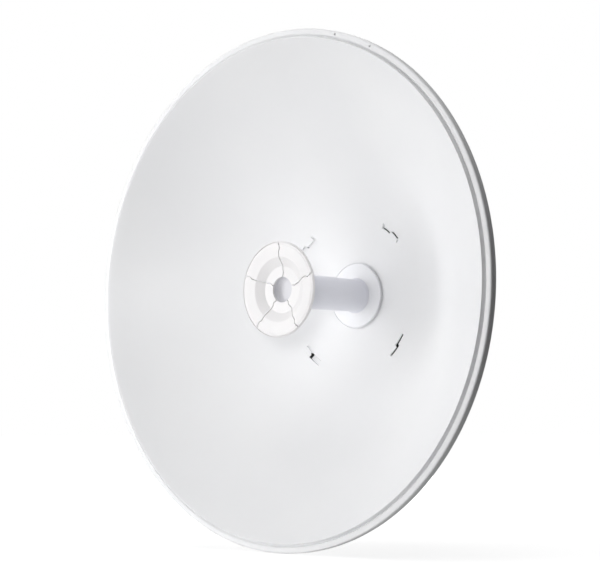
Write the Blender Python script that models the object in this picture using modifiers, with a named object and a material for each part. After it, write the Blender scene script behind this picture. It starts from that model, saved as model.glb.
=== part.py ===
# Parabolic dish antenna: pressed reflector, feed on a tube, rear housing and pole bracket.
# Metres, +Z up. The dish looks along -Y. The origin is on the flat rear face of the pole bracket.
import math

import bmesh
import bpy
from mathutils import Matrix, Vector

# Driving dimensions of the reflector, in the dish's own frame: z = 0 at the lip, +z forward
RIM_RADIUS = 0.325
LIP_RADIUS = 0.3136
FOCAL_LENGTH = 0.1568
SHEET = 0.0015
SHOULDER_RADIUS = 0.3177
FLANGE_Z = -0.0029
SKIRT_Z = -0.0119
BEND_RADIUS = 0.0022
HUB_HOLE_RADIUS = 0.0400
DISH_STEPS = 72
BOWL_RINGS = 11
LIP_TO_POLE_FACE = 0.290

# Twist-lock marks: a slit across the sheet, with a pocket pressed back on one side of it and one
# pressed forward on the other
LOCK_COUNT = 4
LOCK_SLIT_DEG = 48.4
LOCK_HALF_DEG = 8.9
LOCK_INNER_RADIUS = 0.0990
LOCK_OUTER_RADIUS = 0.1060
POCKET_DEPTH = 0.0027
POCKET_SHEET = 0.0013
POCKET_LIP = 0.0008
POCKET_WALL_RUN = 0.0016
SLIT_HALF_DEG = 0.15

# Drain holes in the rim flange
DRAIN_RADIUS = 0.0014
DRAIN_CIRCLE_RADIUS = 0.3208
DRAIN_ANGLES_DEG = (73.0, 62.3)

# Feed
DISC_RADIUS = 0.0597
DISC_FRONT_Z = -0.0012
DISC_SHEET = 0.0022
DISC_RIM_DEPTH = 0.0026
FACE_OUTER_RADIUS = 0.0556
FACE_OUTER_Z = -0.0008
CONE_OUTER_RADIUS = 0.0405
CONE_OUTER_Z = -0.0024
CONE_INNER_RADIUS = 0.0293
RING_Z = -0.0092
HUB_RADIUS = 0.0160
HUB_DEPTH = 0.0090
PETAL_COUNT = 5
PETAL_SEAM_DEG = 90.0
SEAM_GAP = 0.0009
SEAM_LINE = (
    (0.0120, -0.0008),
    (0.0180, -0.0008),
    (0.0212, -0.0026),
    (0.0236, -0.0014),
    (0.0300, -0.0012),
    (0.0420, -0.0007),
    (0.0478, -0.0006),
    (0.0506, -0.0030),
    (0.0538, -0.0024),
    (0.0578, -0.0009),
    (0.0650, -0.0002),
)
TUBE_BASE_RADIUS = 0.0208
TUBE_TOP_RADIUS = 0.0222
TUBE_WALL = 0.0025
TUBE_FILLET = 0.0022
BASE_RADIUS = 0.0428
BASE_FRONT_Z = -0.1498
BASE_SHEET = 0.0037
SOCKET_RADIUS = 0.0345
SOCKET_END_Z = -0.1850
NECK_LENGTH = 0.0180

# Rear housing
HOUSING_RADIUS = 0.1180
HOUSING_BACK_RADIUS = 0.0960
HOUSING_BACK_Z = -0.1960
HOUSING_WALL = 0.0030
HOUSING_STEPS = 64
LOCK_PLATE_Z = -0.1630
LOCK_PLATE_SHEET = 0.0025
LOCK_PLATE_RADIUS = 0.1080
EAR_RADIUS = 0.1025
EAR_LEG_HALF_WIDTH = 0.0011
EAR_LEG_HALF_LENGTH = 0.0022
EAR_FINGER_HALF_WIDTH = 0.0016
EAR_FINGER_MIDDLE_DEG = -3.3
EAR_FINGER_HALF_DEG = 2.7
EAR_FINGER_LIFT = -0.0002
EAR_FINGER_SHEET = 0.0014

# Bracket, in the row frame
PLATE = 0.0030
CHEEK_OUTER_X = 0.0375
FLANGE_OUTER_X = 0.0341
BRACKET_HALF_HEIGHT = 0.0600
POLE_PLATE_HALF_WIDTH = 0.0590
PIVOT_Y = -0.0420
PIVOT_Z = 0.0330
TILT_RADIUS = 0.0640
TILT_SLOT_HALF_DEG = 20.0
BOLT_RADIUS = 0.0040
BOLT_CLEARANCE = 0.0006
NUT_HALF_WIDTH = 0.0065
NUT_HEIGHT = 0.0065
CLAMP_BOLT_X = 0.0480
CLAMP_BOLT_Z = 0.0430
POLE_RADIUS = 0.0240
JAW_HALF_ANGLE_DEG = 55.0
JAW_SHEET = 0.0040
JAW_HALF_HEIGHT = 0.0150

# Gap between pieces that touch
TOUCH_GAP = 0.0003

MERGE = 0.00001


def clear_scene():
    for item in list(bpy.data.objects):
        bpy.data.objects.remove(item, do_unlink=True)


def make_collection(name):
    collection = bpy.data.collections.new(name)
    bpy.context.scene.collection.children.link(collection)
    return collection


def make_material(name, colour, roughness, metallic):
    material = bpy.data.materials.new(name)
    material.use_nodes = True
    shader = material.node_tree.nodes["Principled BSDF"]
    shader.inputs["Base Color"].default_value = (*colour, 1.0)
    shader.inputs["Roughness"].default_value = roughness
    shader.inputs["Metallic"].default_value = metallic
    return material


clear_scene()
PARTS = make_collection("dish_antenna")
CUTTERS = make_collection("cutters")
WHITE_PAINT = make_material("white_paint", (0.88, 0.89, 0.91), 0.42, 0.0)
WHITE_PLASTIC = make_material("white_plastic", (0.88, 0.88, 0.89), 0.38, 0.0)
GREY_PLASTIC = make_material("grey_plastic", (0.62, 0.63, 0.65), 0.5, 0.0)
ZINC_STEEL = make_material("zinc_steel", (0.63, 0.64, 0.65), 0.38, 1.0)
BOLT_STEEL = make_material("bolt_steel", (0.72, 0.72, 0.72), 0.28, 1.0)
BLACK_RUBBER = make_material("black_rubber", (0.03, 0.03, 0.03), 0.8, 0.0)

DISH_AXIS = bpy.data.objects.new("dish_axis", None)
DISH_AXIS.location = (0.0, -LIP_TO_POLE_FACE, 0.0)
DISH_AXIS.rotation_euler = (math.pi / 2, 0.0, 0.0)
PARTS.objects.link(DISH_AXIS)


def add_object(name, data, material, parent=None):
    item = bpy.data.objects.new(name, data)
    PARTS.objects.link(item)
    item.parent = parent
    if material is not None:
        data.materials.append(material)
    return item


def make_cutter(item):
    PARTS.objects.unlink(item)
    CUTTERS.objects.link(item)
    item.hide_render = True
    item.display_type = "WIRE"


def combine(target, tool, operation):
    modifier = target.modifiers.new(tool.name, "BOOLEAN")
    modifier.operation = operation
    modifier.solver = "EXACT"
    modifier.object = tool
    if tool.name not in CUTTERS.objects:
        make_cutter(tool)


def smooth(data, angle_deg=35.0):
    data.shade_smooth()
    data.set_sharp_from_angle(angle=math.radians(angle_deg))


def turned(name, profile, material, steps, closed=False, parent=None):
    """A profile of (radius, height) points turned about the local Z axis."""
    data = bpy.data.meshes.new(name)
    edges = [(i, i + 1) for i in range(len(profile) - 1)]
    if closed:
        edges.append((len(profile) - 1, 0))
    data.from_pydata([(radius, 0.0, height) for radius, height in profile], edges, [])
    item = add_object(name, data, material, parent)
    screw = item.modifiers.new("turn", "SCREW")
    screw.angle = 2 * math.pi
    screw.steps = steps
    screw.render_steps = steps
    screw.use_merge_vertices = True
    screw.merge_threshold = MERGE
    screw.use_smooth_shade = True
    return item


def box(name, low, high, material, parent=None):
    data = bpy.data.meshes.new(name)
    form = bmesh.new()
    low = Vector(low)
    high = Vector(high)
    middle = Matrix.Translation((low + high) / 2)
    bmesh.ops.create_cube(form, size=1.0, matrix=middle @ Matrix.Diagonal((*(high - low), 1.0)))
    form.to_mesh(data)
    form.free()
    return add_object(name, data, material, parent)


def cylinder(name, radius, start, end, material, segments=16, parent=None):
    """A straight cylinder from one point to another."""
    start = Vector(start)
    end = Vector(end)
    along = end - start
    turn = along.to_track_quat("Z", "Y").to_matrix().to_4x4()
    data = bpy.data.meshes.new(name)
    form = bmesh.new()
    bmesh.ops.create_cone(
        form,
        cap_ends=True,
        segments=segments,
        radius1=radius,
        radius2=radius,
        depth=along.length,
        matrix=Matrix.Translation((start + end) / 2) @ turn,
    )
    form.to_mesh(data)
    form.free()
    smooth(data)
    return add_object(name, data, material, parent)


def plate(name, outline, thickness, material, place, parent=None):
    """A flat outline of (x, y) points, extruded half the thickness each way and set by a matrix."""
    curve = bpy.data.curves.new(name, "CURVE")
    curve.dimensions = "2D"
    curve.fill_mode = "BOTH"
    curve.extrude = thickness / 2
    spline = curve.splines.new("POLY")
    spline.points.add(len(outline) - 1)
    for point, (x, y) in zip(spline.points, outline):
        point.co = (x, y, 0.0, 1.0)
    spline.use_cyclic_u = True
    flat = bpy.data.objects.new(name + "_outline", curve)
    bpy.context.scene.collection.objects.link(flat)
    bpy.context.view_layer.update()
    evaluated = flat.evaluated_get(bpy.context.evaluated_depsgraph_get())
    data = bpy.data.meshes.new_from_object(evaluated)
    bpy.data.objects.remove(flat, do_unlink=True)
    form = bmesh.new()
    form.from_mesh(data)
    bmesh.ops.remove_doubles(form, verts=form.verts, dist=MERGE)
    bmesh.ops.recalc_face_normals(form, faces=form.faces)
    bmesh.ops.transform(form, matrix=place, verts=form.verts)
    form.to_mesh(data)
    form.free()
    data.name = name
    return add_object(name, data, material, parent)


def arc(centre, radius, start_deg, end_deg, steps):
    """Points along an arc, both ends included."""
    points = []
    for i in range(steps + 1):
        angle = math.radians(start_deg + (end_deg - start_deg) * i / steps)
        points.append((centre[0] + radius * math.cos(angle), centre[1] + radius * math.sin(angle)))
    return points


def bowl_z(radius):
    return radius * radius / (4 * FOCAL_LENGTH) - FOCAL_LENGTH


def bowl_point(radius, angle_deg, lift):
    """A point on the reflecting surface, lifted along its normal, in the dish's frame."""
    slope = radius / (2 * FOCAL_LENGTH)
    length = math.hypot(1.0, slope)
    outward = radius - lift * slope / length
    height = bowl_z(radius) + lift / length
    angle = math.radians(angle_deg)
    return Vector((outward * math.cos(angle), outward * math.sin(angle), height))


def reflector_profile():
    """The front line of the sheet, from the hub hole out over the lip and down the skirt."""
    points = []
    for i in range(BOWL_RINGS + 1):
        radius = HUB_HOLE_RADIUS + (LIP_RADIUS - HUB_HOLE_RADIUS) * i / BOWL_RINGS
        points.append((radius, bowl_z(radius)))
    points.append((LIP_RADIUS + 0.0006, -0.0001))
    points.append((SHOULDER_RADIUS, FLANGE_Z))
    corner = (RIM_RADIUS - BEND_RADIUS, FLANGE_Z - BEND_RADIUS)
    points += arc(corner, BEND_RADIUS, 90.0, 0.0, 3)
    points.append((RIM_RADIUS, SKIRT_Z))
    return points


def lock_pocket(name, root_deg, open_deg, depth):
    """A pocket pressed out of the sheet, closed on three sides and open at the slit."""
    mean_radius = (LOCK_INNER_RADIUS + LOCK_OUTER_RADIUS) / 2
    length = math.radians(abs(open_deg - root_deg)) * mean_radius + POCKET_LIP
    width = LOCK_OUTER_RADIUS - LOCK_INNER_RADIUS + 2 * POCKET_LIP
    wall_end = POCKET_LIP + POCKET_WALL_RUN
    along_marks = [0.0, POCKET_LIP, wall_end, length * 0.6, length]
    across_marks = [0.0, POCKET_LIP, wall_end, width - wall_end, width - POCKET_LIP, width]
    data = bpy.data.meshes.new(name)
    form = bmesh.new()
    columns = len(along_marks) - 1
    rows = len(across_marks) - 1
    bmesh.ops.create_grid(form, x_segments=columns, y_segments=rows, size=0.5)
    turning = 1.0 if open_deg > root_deg else -1.0
    for vertex in form.verts:
        column = round((vertex.co.x + 0.5) * columns)
        row = round((vertex.co.y + 0.5) * rows)
        from_open = math.degrees((length - along_marks[column]) / mean_radius)
        angle = open_deg - turning * from_open
        radius = LOCK_INNER_RADIUS - POCKET_LIP + across_marks[row]
        pressed = column > 1 and 1 < row < rows - 1
        vertex.co = bowl_point(radius, angle, (depth if pressed else 0.0) - SHEET / 2)
    bmesh.ops.recalc_face_normals(form, faces=form.faces)
    form.to_mesh(data)
    form.free()
    item = add_object(name, data, WHITE_PAINT, DISH_AXIS)
    shell = item.modifiers.new("thickness", "SOLIDIFY")
    shell.thickness = POCKET_SHEET
    shell.offset = 0.0
    return item


def make_reflector():
    dish = turned("reflector", reflector_profile(), WHITE_PAINT, DISH_STEPS, parent=DISH_AXIS)
    shell = dish.modifiers.new("sheet", "SOLIDIFY")
    shell.thickness = SHEET
    shell.offset = -1.0
    shell.use_even_offset = True
    for index in range(LOCK_COUNT):
        slit = LOCK_SLIT_DEG + 360.0 / LOCK_COUNT * index
        first = slit - LOCK_HALF_DEG
        last = slit + LOCK_HALF_DEG
        ring = arc((0.0, 0.0), LOCK_OUTER_RADIUS, first, last, 6)
        ring += arc((0.0, 0.0), LOCK_INNER_RADIUS, last, first, 6)
        place = Matrix.Translation((0.0, 0.0, bowl_z(LOCK_OUTER_RADIUS)))
        slot = plate(f"lock_slot_{index + 1}", ring, 0.016, None, place, DISH_AXIS)
        combine(dish, slot, "DIFFERENCE")
        raised = lock_pocket(f"raised_pocket_{index + 1}", first, slit - SLIT_HALF_DEG, POCKET_DEPTH)
        combine(dish, raised, "UNION")
        sunk = lock_pocket(f"sunk_pocket_{index + 1}", last, slit + SLIT_HALF_DEG, -POCKET_DEPTH)
        combine(dish, sunk, "UNION")
    for index, angle_deg in enumerate(DRAIN_ANGLES_DEG):
        angle = math.radians(angle_deg)
        x = DRAIN_CIRCLE_RADIUS * math.cos(angle)
        y = DRAIN_CIRCLE_RADIUS * math.sin(angle)
        name = f"drain_hole_{index + 1}"
        drill = cylinder(name, DRAIN_RADIUS, (x, y, -0.008), (x, y, 0.004), None, 8, DISH_AXIS)
        combine(dish, drill, "DIFFERENCE")


def make_feed():
    inner_radius = TUBE_TOP_RADIUS - TUBE_WALL
    base_back = BASE_FRONT_Z - BASE_SHEET
    base_profile = [
        (SOCKET_RADIUS, base_back),
        (SOCKET_RADIUS, SOCKET_END_Z),
        (SOCKET_RADIUS - TUBE_WALL, SOCKET_END_Z),
        (SOCKET_RADIUS - TUBE_WALL, base_back),
        (TUBE_BASE_RADIUS - TUBE_WALL, base_back),
        (TUBE_BASE_RADIUS - TUBE_WALL, BASE_FRONT_Z),
        (BASE_RADIUS - 0.0008, BASE_FRONT_Z),
        (BASE_RADIUS, BASE_FRONT_Z - 0.0008),
        (BASE_RADIUS, base_back),
    ]
    turned("feed_base", base_profile, WHITE_PLASTIC, 48, True, DISH_AXIS)

    tube_foot = BASE_FRONT_Z + TOUCH_GAP
    neck_back = RING_Z - DISC_SHEET - TOUCH_GAP - NECK_LENGTH
    tube_profile = [
        (TUBE_TOP_RADIUS, neck_back - TOUCH_GAP),
        (TUBE_BASE_RADIUS, tube_foot + TUBE_FILLET),
        (TUBE_BASE_RADIUS + TUBE_FILLET * 0.3, tube_foot + TUBE_FILLET * 0.3),
        (TUBE_BASE_RADIUS + TUBE_FILLET, tube_foot),
        (TUBE_BASE_RADIUS - TUBE_WALL, tube_foot),
        (inner_radius, neck_back - TOUCH_GAP),
    ]
    turned("feed_tube", tube_profile, WHITE_PLASTIC, 48, True, DISH_AXIS)

    neck_front = neck_back + NECK_LENGTH
    neck_profile = [
        (CONE_INNER_RADIUS, neck_front),
        (CONE_INNER_RADIUS, neck_front - 0.0020),
        (CONE_INNER_RADIUS - 0.0035, neck_front - 0.0070),
        (TUBE_TOP_RADIUS, neck_back + 0.0050),
        (TUBE_TOP_RADIUS, neck_back),
        (inner_radius, neck_back),
        (inner_radius, neck_front),
    ]
    turned("feed_neck", neck_profile, WHITE_PLASTIC, 48, True, DISH_AXIS)

    cup_front = neck_front - TOUCH_GAP
    cup_floor = RING_Z - HUB_DEPTH
    cup_radius = inner_radius - TOUCH_GAP
    cup_profile = [
        (HUB_RADIUS, cup_front),
        (cup_radius, cup_front),
        (cup_radius, cup_floor - 0.0020),
        (0.0, cup_floor - 0.0020),
    ]
    cup_profile.insert(0, (HUB_RADIUS, cup_floor))
    cup_profile.insert(0, (0.0, cup_floor))
    turned("hub_cup", cup_profile, WHITE_PLASTIC, 48, False, DISH_AXIS)
    make_petals()


def disc_profile():
    """Section of the feed disc: a lower rim, a slightly dished face, a sloping recess, a ring."""
    front = DISC_FRONT_Z
    return [
        (HUB_RADIUS, RING_Z),
        (CONE_INNER_RADIUS, RING_Z),
        (CONE_OUTER_RADIUS, CONE_OUTER_Z),
        (FACE_OUTER_RADIUS, FACE_OUTER_Z),
        (FACE_OUTER_RADIUS + 0.0006, front),
        (DISC_RADIUS - 0.0006, front),
        (DISC_RADIUS, front - 0.0006),
        (DISC_RADIUS, front - DISC_RIM_DEPTH),
        (CONE_OUTER_RADIUS + 0.0007, CONE_OUTER_Z - DISC_SHEET),
        (CONE_INNER_RADIUS + 0.0007, RING_Z - DISC_SHEET),
        (HUB_RADIUS, RING_Z - DISC_SHEET),
    ]


def seam_points(angle_deg, shift):
    """A seam between two petals, from the hub out: nearly straight, with a jog at each end."""
    angle = math.radians(angle_deg)
    along = Vector((math.cos(angle), math.sin(angle)))
    across = Vector((-math.sin(angle), math.cos(angle)))
    return [tuple(along * radius + across * (offset + shift)) for radius, offset in SEAM_LINE]


def make_petals():
    step = 360.0 / PETAL_COUNT
    for index in range(PETAL_COUNT):
        start = PETAL_SEAM_DEG + step * index
        outline = seam_points(start, SEAM_GAP / 2)
        outline += arc((0.0, 0.0), DISC_RADIUS * 1.2, start + 4.0, start + step - 4.0, 8)
        outline += reversed(seam_points(start + step, -SEAM_GAP / 2))
        place = Matrix.Translation((0.0, 0.0, -0.006))
        sector = plate(f"petal_sector_{index + 1}", outline, 0.03, None, place, DISH_AXIS)
        petal = turned(f"disc_petal_{index + 1}", disc_profile(), WHITE_PLASTIC, 60, True, DISH_AXIS)
        combine(petal, sector, "INTERSECT")


def make_housing():
    front_z = bowl_z(HOUSING_RADIUS) - SHEET - 0.0008
    back_z = HOUSING_BACK_Z
    profile = [
        (HOUSING_RADIUS, front_z),
        (HOUSING_RADIUS, back_z + 0.026),
        (HOUSING_RADIUS - 0.0030, back_z + 0.014),
        (HOUSING_RADIUS - 0.0110, back_z + 0.004),
        (HOUSING_BACK_RADIUS, back_z),
        (0.030, back_z),
        (0.030, back_z + HOUSING_WALL),
        (HOUSING_BACK_RADIUS - 0.001, back_z + HOUSING_WALL),
        (HOUSING_RADIUS - 0.0132, back_z + 0.0065),
        (HOUSING_RADIUS - 0.0058, back_z + 0.0150),
        (HOUSING_RADIUS - HOUSING_WALL, back_z + 0.0265),
        (HOUSING_RADIUS - HOUSING_WALL, front_z - 0.0009),
    ]
    housing = turned("rear_housing", profile, GREY_PLASTIC, HOUSING_STEPS, True, DISH_AXIS)
    notch = box(
        "inlet_notch",
        (-0.0150, -HOUSING_RADIUS - 0.01, back_z + 0.030),
        (0.0150, -HOUSING_RADIUS + 0.01, back_z + 0.048),
        None,
        DISH_AXIS,
    )
    combine(housing, notch, "DIFFERENCE")

    cap_profile = [
        (0.0, back_z + 0.0005),
        (0.0297, back_z + 0.0005),
        (0.0297, back_z - 0.0015),
        (0.0270, back_z - 0.0030),
        (0.0, back_z - 0.0030),
    ]
    turned("rear_cap", cap_profile, GREY_PLASTIC, 40, False, DISH_AXIS)

    box(
        "cable_grommet",
        (-0.0147, -HOUSING_RADIUS - 0.0025, back_z + 0.0303),
        (0.0147, -HOUSING_RADIUS + 0.0045, back_z + 0.0477),
        BLACK_RUBBER,
        DISH_AXIS,
    )


def make_lock_plate():
    top = LOCK_PLATE_Z
    bottom = top - LOCK_PLATE_SHEET
    profile = [
        (LOCK_PLATE_RADIUS, top),
        (LOCK_PLATE_RADIUS, bottom),
        (SOCKET_RADIUS + 0.0006, bottom),
        (SOCKET_RADIUS + 0.0006, top),
    ]
    ring = turned("lock_plate", profile, ZINC_STEEL, 48, True, DISH_AXIS)
    for index in range(LOCK_COUNT):
        slit = LOCK_SLIT_DEG + 360.0 / LOCK_COUNT * index
        combine(ring, ear_leg(f"ear_leg_{index + 1}", slit - 3.8, bottom + 0.0008), "UNION")
        combine(ring, ear_finger(f"ear_finger_{index + 1}", slit), "UNION")


def ear_leg(name, angle_deg, foot_z):
    """The upright of an ear, from the lock plate to just inside the raised pocket."""
    low = (EAR_RADIUS - EAR_LEG_HALF_WIDTH, -EAR_LEG_HALF_LENGTH, foot_z)
    high = (EAR_RADIUS + EAR_LEG_HALF_WIDTH, EAR_LEG_HALF_LENGTH, bowl_z(EAR_RADIUS) - 0.0003)
    leg = box(name, low, high, None, DISH_AXIS)
    leg.data.transform(Matrix.Rotation(math.radians(angle_deg), 4, "Z"))
    return leg


def ear_finger(name, slit_deg):
    """The flat end of an ear, under the roof of the raised pocket and level with the sheet."""
    finger = box(name, (-0.5, -0.5, -0.5), (0.5, 0.5, 0.5), None, DISH_AXIS)
    for vertex in finger.data.vertices:
        radius = EAR_RADIUS + 2 * vertex.co.x * EAR_FINGER_HALF_WIDTH
        angle = slit_deg + EAR_FINGER_MIDDLE_DEG + 2 * vertex.co.y * EAR_FINGER_HALF_DEG
        lift = EAR_FINGER_LIFT + vertex.co.z * EAR_FINGER_SHEET
        vertex.co = bowl_point(radius, angle, lift)
    return finger


def to_side(x):
    """Puts an outline drawn in (y, z) into the plane at x."""
    return Matrix(((0, 0, 1, x), (1, 0, 0, 0), (0, 1, 0, 0), (0, 0, 0, 1)))


def to_wall(y):
    """Puts an outline drawn in (x, z) into the plane at y."""
    return Matrix(((1, 0, 0, 0), (0, 0, -1, y), (0, 1, 0, 0), (0, 0, 0, 1)))


def rounded_rectangle(low, high, radius, steps=3):
    (x0, y0), (x1, y1) = low, high
    points = arc((x1 - radius, y1 - radius), radius, 0.0, 90.0, steps)
    points += arc((x0 + radius, y1 - radius), radius, 90.0, 180.0, steps)
    points += arc((x0 + radius, y0 + radius), radius, 180.0, 270.0, steps)
    points += arc((x1 - radius, y0 + radius), radius, 270.0, 360.0, steps)
    return points


def bolt_hole(target, name, start, end):
    drill = cylinder(name, BOLT_RADIUS + BOLT_CLEARANCE, start, end, None, 16)
    combine(target, drill, "DIFFERENCE")


def make_tilt_bracket():
    back_y = -LIP_TO_POLE_FACE - HOUSING_BACK_Z + 0.0008
    wall_y = back_y + PLATE
    half = BRACKET_HALF_HEIGHT - 0.004
    outline = rounded_rectangle((-CHEEK_OUTER_X, -half), (CHEEK_OUTER_X, half), 0.004)
    bracket = plate("tilt_bracket", outline, PLATE, ZINC_STEEL, to_wall(back_y + PLATE / 2))
    window = cylinder("cap_window", 0.0300, (0, back_y - 0.01, 0), (0, wall_y + 0.01, 0), None, 40)
    combine(bracket, window, "DIFFERENCE")
    tilt_z = PIVOT_Z - TILT_RADIUS
    nose = 0.0130
    cheek = arc((PIVOT_Y, PIVOT_Z), nose, -20.0, 90.0, 5)
    cheek += [(wall_y - 0.001, half), (wall_y - 0.001, -half)]
    cheek += arc((PIVOT_Y + 0.004, tilt_z - 0.004), nose + 0.006, -90.0, 20.0, 5)
    slot = arc((PIVOT_Y, PIVOT_Z), TILT_RADIUS + 0.0047, -90.0 - TILT_SLOT_HALF_DEG,
               -90.0 + TILT_SLOT_HALF_DEG, 6)
    slot += arc((PIVOT_Y, PIVOT_Z), TILT_RADIUS - 0.0047, -90.0 + TILT_SLOT_HALF_DEG,
                -90.0 - TILT_SLOT_HALF_DEG, 6)
    for side, x in (("left", -CHEEK_OUTER_X + PLATE / 2), ("right", CHEEK_OUTER_X - PLATE / 2)):
        combine(bracket, plate(f"tilt_cheek_{side}", cheek, PLATE, None, to_side(x)), "UNION")
        combine(bracket, plate(f"tilt_slot_{side}", slot, PLATE * 3, None, to_side(x)), "DIFFERENCE")
    reach = CHEEK_OUTER_X + 0.01
    bolt_hole(bracket, "pivot_hole", (-reach, PIVOT_Y, PIVOT_Z), (reach, PIVOT_Y, PIVOT_Z))
    for index, (x, z) in enumerate(housing_bolt_places()):
        bolt_hole(bracket, f"housing_hole_{index + 1}", (x, back_y - 0.01, z), (x, wall_y + 0.01, z))
        hex_bolt(f"housing_bolt_{index + 1}", (x, wall_y + TOUCH_GAP, z), (0, 1, 0), 0.0055, 0.0025)


def housing_bolt_places():
    return [(x, z) for x in (-0.026, 0.026) for z in (-0.044, 0.044)]


def hex_bolt(name, seat, direction, head_height, shaft_length):
    """A hexagon head whose underside is at the seat, with its shaft running back from it."""
    seat = Vector(seat)
    direction = Vector(direction)
    head = cylinder(name, NUT_HALF_WIDTH * 1.15, seat, seat + direction * head_height, BOLT_STEEL, 6)
    shaft_end = seat - direction * shaft_length
    shaft = cylinder(name + "_shaft", BOLT_RADIUS, seat + direction * 0.001, shaft_end, BOLT_STEEL, 16)
    combine(head, shaft, "UNION")
    return head


def nut(name, seat, direction):
    """A hexagon nut with a round flange, seated on the flange."""
    seat = Vector(seat)
    direction = Vector(direction)
    body = cylinder(name, NUT_HALF_WIDTH * 1.15, seat + direction * 0.0008,
                    seat + direction * NUT_HEIGHT, BOLT_STEEL, 6)
    flange = cylinder(name + "_flange", 0.0086, seat, seat + direction * 0.0014, BOLT_STEEL, 20)
    combine(body, flange, "UNION")
    bore_start = seat - direction * 0.002
    bore_end = seat + direction * (NUT_HEIGHT + 0.002)
    bore = cylinder(name + "_bore", BOLT_RADIUS + TOUCH_GAP, bore_start, bore_end, None, 16)
    combine(body, bore, "DIFFERENCE")
    return body


def make_pole_bracket():
    outline = rounded_rectangle(
        (-POLE_PLATE_HALF_WIDTH, -BRACKET_HALF_HEIGHT), (POLE_PLATE_HALF_WIDTH, BRACKET_HALF_HEIGHT), 0.006)
    bracket = plate("pole_bracket", outline, PLATE, ZINC_STEEL, to_wall(-PLATE / 2))
    tilt_z = PIVOT_Z - TILT_RADIUS
    front = PIVOT_Y - 0.0125
    flange = [(-PLATE / 2, -BRACKET_HALF_HEIGHT + 0.006), (-PLATE / 2, BRACKET_HALF_HEIGHT - 0.006)]
    flange += arc((front + 0.0125, PIVOT_Z), 0.0125, 90.0, 180.0, 4)
    flange += arc((front + 0.0125, tilt_z), 0.0125, 180.0, 270.0, 4)
    for side, x in (("left", -FLANGE_OUTER_X + PLATE / 2), ("right", FLANGE_OUTER_X - PLATE / 2)):
        combine(bracket, plate(f"pole_flange_{side}", flange, PLATE, None, to_side(x)), "UNION")
    reach = CHEEK_OUTER_X + 0.01
    bolt_hole(bracket, "pole_pivot_hole", (-reach, PIVOT_Y, PIVOT_Z), (reach, PIVOT_Y, PIVOT_Z))
    bolt_hole(bracket, "pole_tilt_hole", (-reach, PIVOT_Y, tilt_z), (reach, PIVOT_Y, tilt_z))
    for index, (x, z) in enumerate(clamp_bolt_places()):
        bolt_hole(bracket, f"clamp_hole_{index + 1}", (x, -0.01, z), (x, 0.01, z))


def clamp_bolt_places():
    return [(x, z) for z in (CLAMP_BOLT_Z, -CLAMP_BOLT_Z) for x in (-CLAMP_BOLT_X, CLAMP_BOLT_X)]


def make_tilt_bolts():
    tilt_z = PIVOT_Z - TILT_RADIUS
    outside = CHEEK_OUTER_X + TOUCH_GAP
    for name, z in (("pivot", PIVOT_Z), ("tilt", tilt_z)):
        hex_bolt(f"{name}_bolt", (-outside, PIVOT_Y, z), (-1, 0, 0), 0.0055, 2 * outside + 0.012)
        nut(f"{name}_nut", (outside, PIVOT_Y, z), (1, 0, 0))


def jaw_line():
    """Inner line of a jaw, from one ear through the V to the other, as (x, y)."""
    half_angle = math.radians(JAW_HALF_ANGLE_DEG)
    apex_y = POLE_RADIUS + POLE_RADIUS / math.sin(half_angle)
    corner_x = 0.0340
    ear_y = apex_y - corner_x / math.tan(half_angle)
    return apex_y, corner_x, ear_y


def make_jaws():
    apex_y, corner_x, ear_y = jaw_line()
    half_angle = math.radians(JAW_HALF_ANGLE_DEG)
    slant = JAW_SHEET / math.sin(half_angle)
    bend = JAW_SHEET * math.tan((math.pi / 2 - half_angle) / 2)
    edge_x = POLE_PLATE_HALF_WIDTH
    outline = [
        (-edge_x, ear_y),
        (-corner_x, ear_y),
        (0.0, apex_y),
        (corner_x, ear_y),
        (edge_x, ear_y),
        (edge_x, ear_y + JAW_SHEET),
        (corner_x - bend, ear_y + JAW_SHEET),
        (0.0, apex_y + slant),
        (-corner_x + bend, ear_y + JAW_SHEET),
        (-edge_x, ear_y + JAW_SHEET),
    ]
    for name, z in (("upper", CLAMP_BOLT_Z), ("lower", -CLAMP_BOLT_Z)):
        place = Matrix.Translation((0.0, 0.0, z))
        jaw = plate(f"jaw_{name}", outline, JAW_HALF_HEIGHT * 2, ZINC_STEEL, place)
        for side, x in (("left", -CLAMP_BOLT_X), ("right", CLAMP_BOLT_X)):
            bolt_hole(jaw, f"jaw_{name}_hole_{side}", (x, ear_y - 0.01, z), (x, ear_y + 0.02, z))
    for index, (x, z) in enumerate(clamp_bolt_places()):
        carriage_bolt(f"clamp_bolt_{index + 1}", x, z, ear_y + JAW_SHEET + 0.026)
        nut(f"clamp_nut_{index + 1}", (x, ear_y + JAW_SHEET + TOUCH_GAP, z), (0, 1, 0))


def carriage_bolt(name, x, z, end_y):
    """A round-headed bolt, its head on the front of the plate and its end behind the jaw."""
    head_radius = 0.0088
    seat = -PLATE - TOUCH_GAP
    profile = [
        (0.0, 0.0046),
        (0.0040, 0.0042),
        (0.0072, 0.0026),
        (head_radius, 0.0),
        (BOLT_RADIUS, 0.0),
        (BOLT_RADIUS, seat - end_y + 0.0008),
        (BOLT_RADIUS - 0.0008, seat - end_y),
        (0.0, seat - end_y),
    ]
    bolt = turned(name, profile, BOLT_STEEL, 16)
    bolt.location = (x, seat, z)
    bolt.rotation_euler = (math.pi / 2, 0.0, 0.0)
    return bolt


make_reflector()
make_feed()
make_housing()
make_lock_plate()
make_tilt_bracket()
make_pole_bracket()
make_tilt_bolts()
make_jaws()
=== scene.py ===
# Looks of the parabolic dish antenna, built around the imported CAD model. Metres, +Z up.
# The dish looks along -Y. Dish coordinates are (x, y, z): y is up, and z runs forward along the
# dish's axis from its lip.
import math

import bmesh
import bpy
import numpy as np
from mathutils import Matrix, Vector


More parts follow.
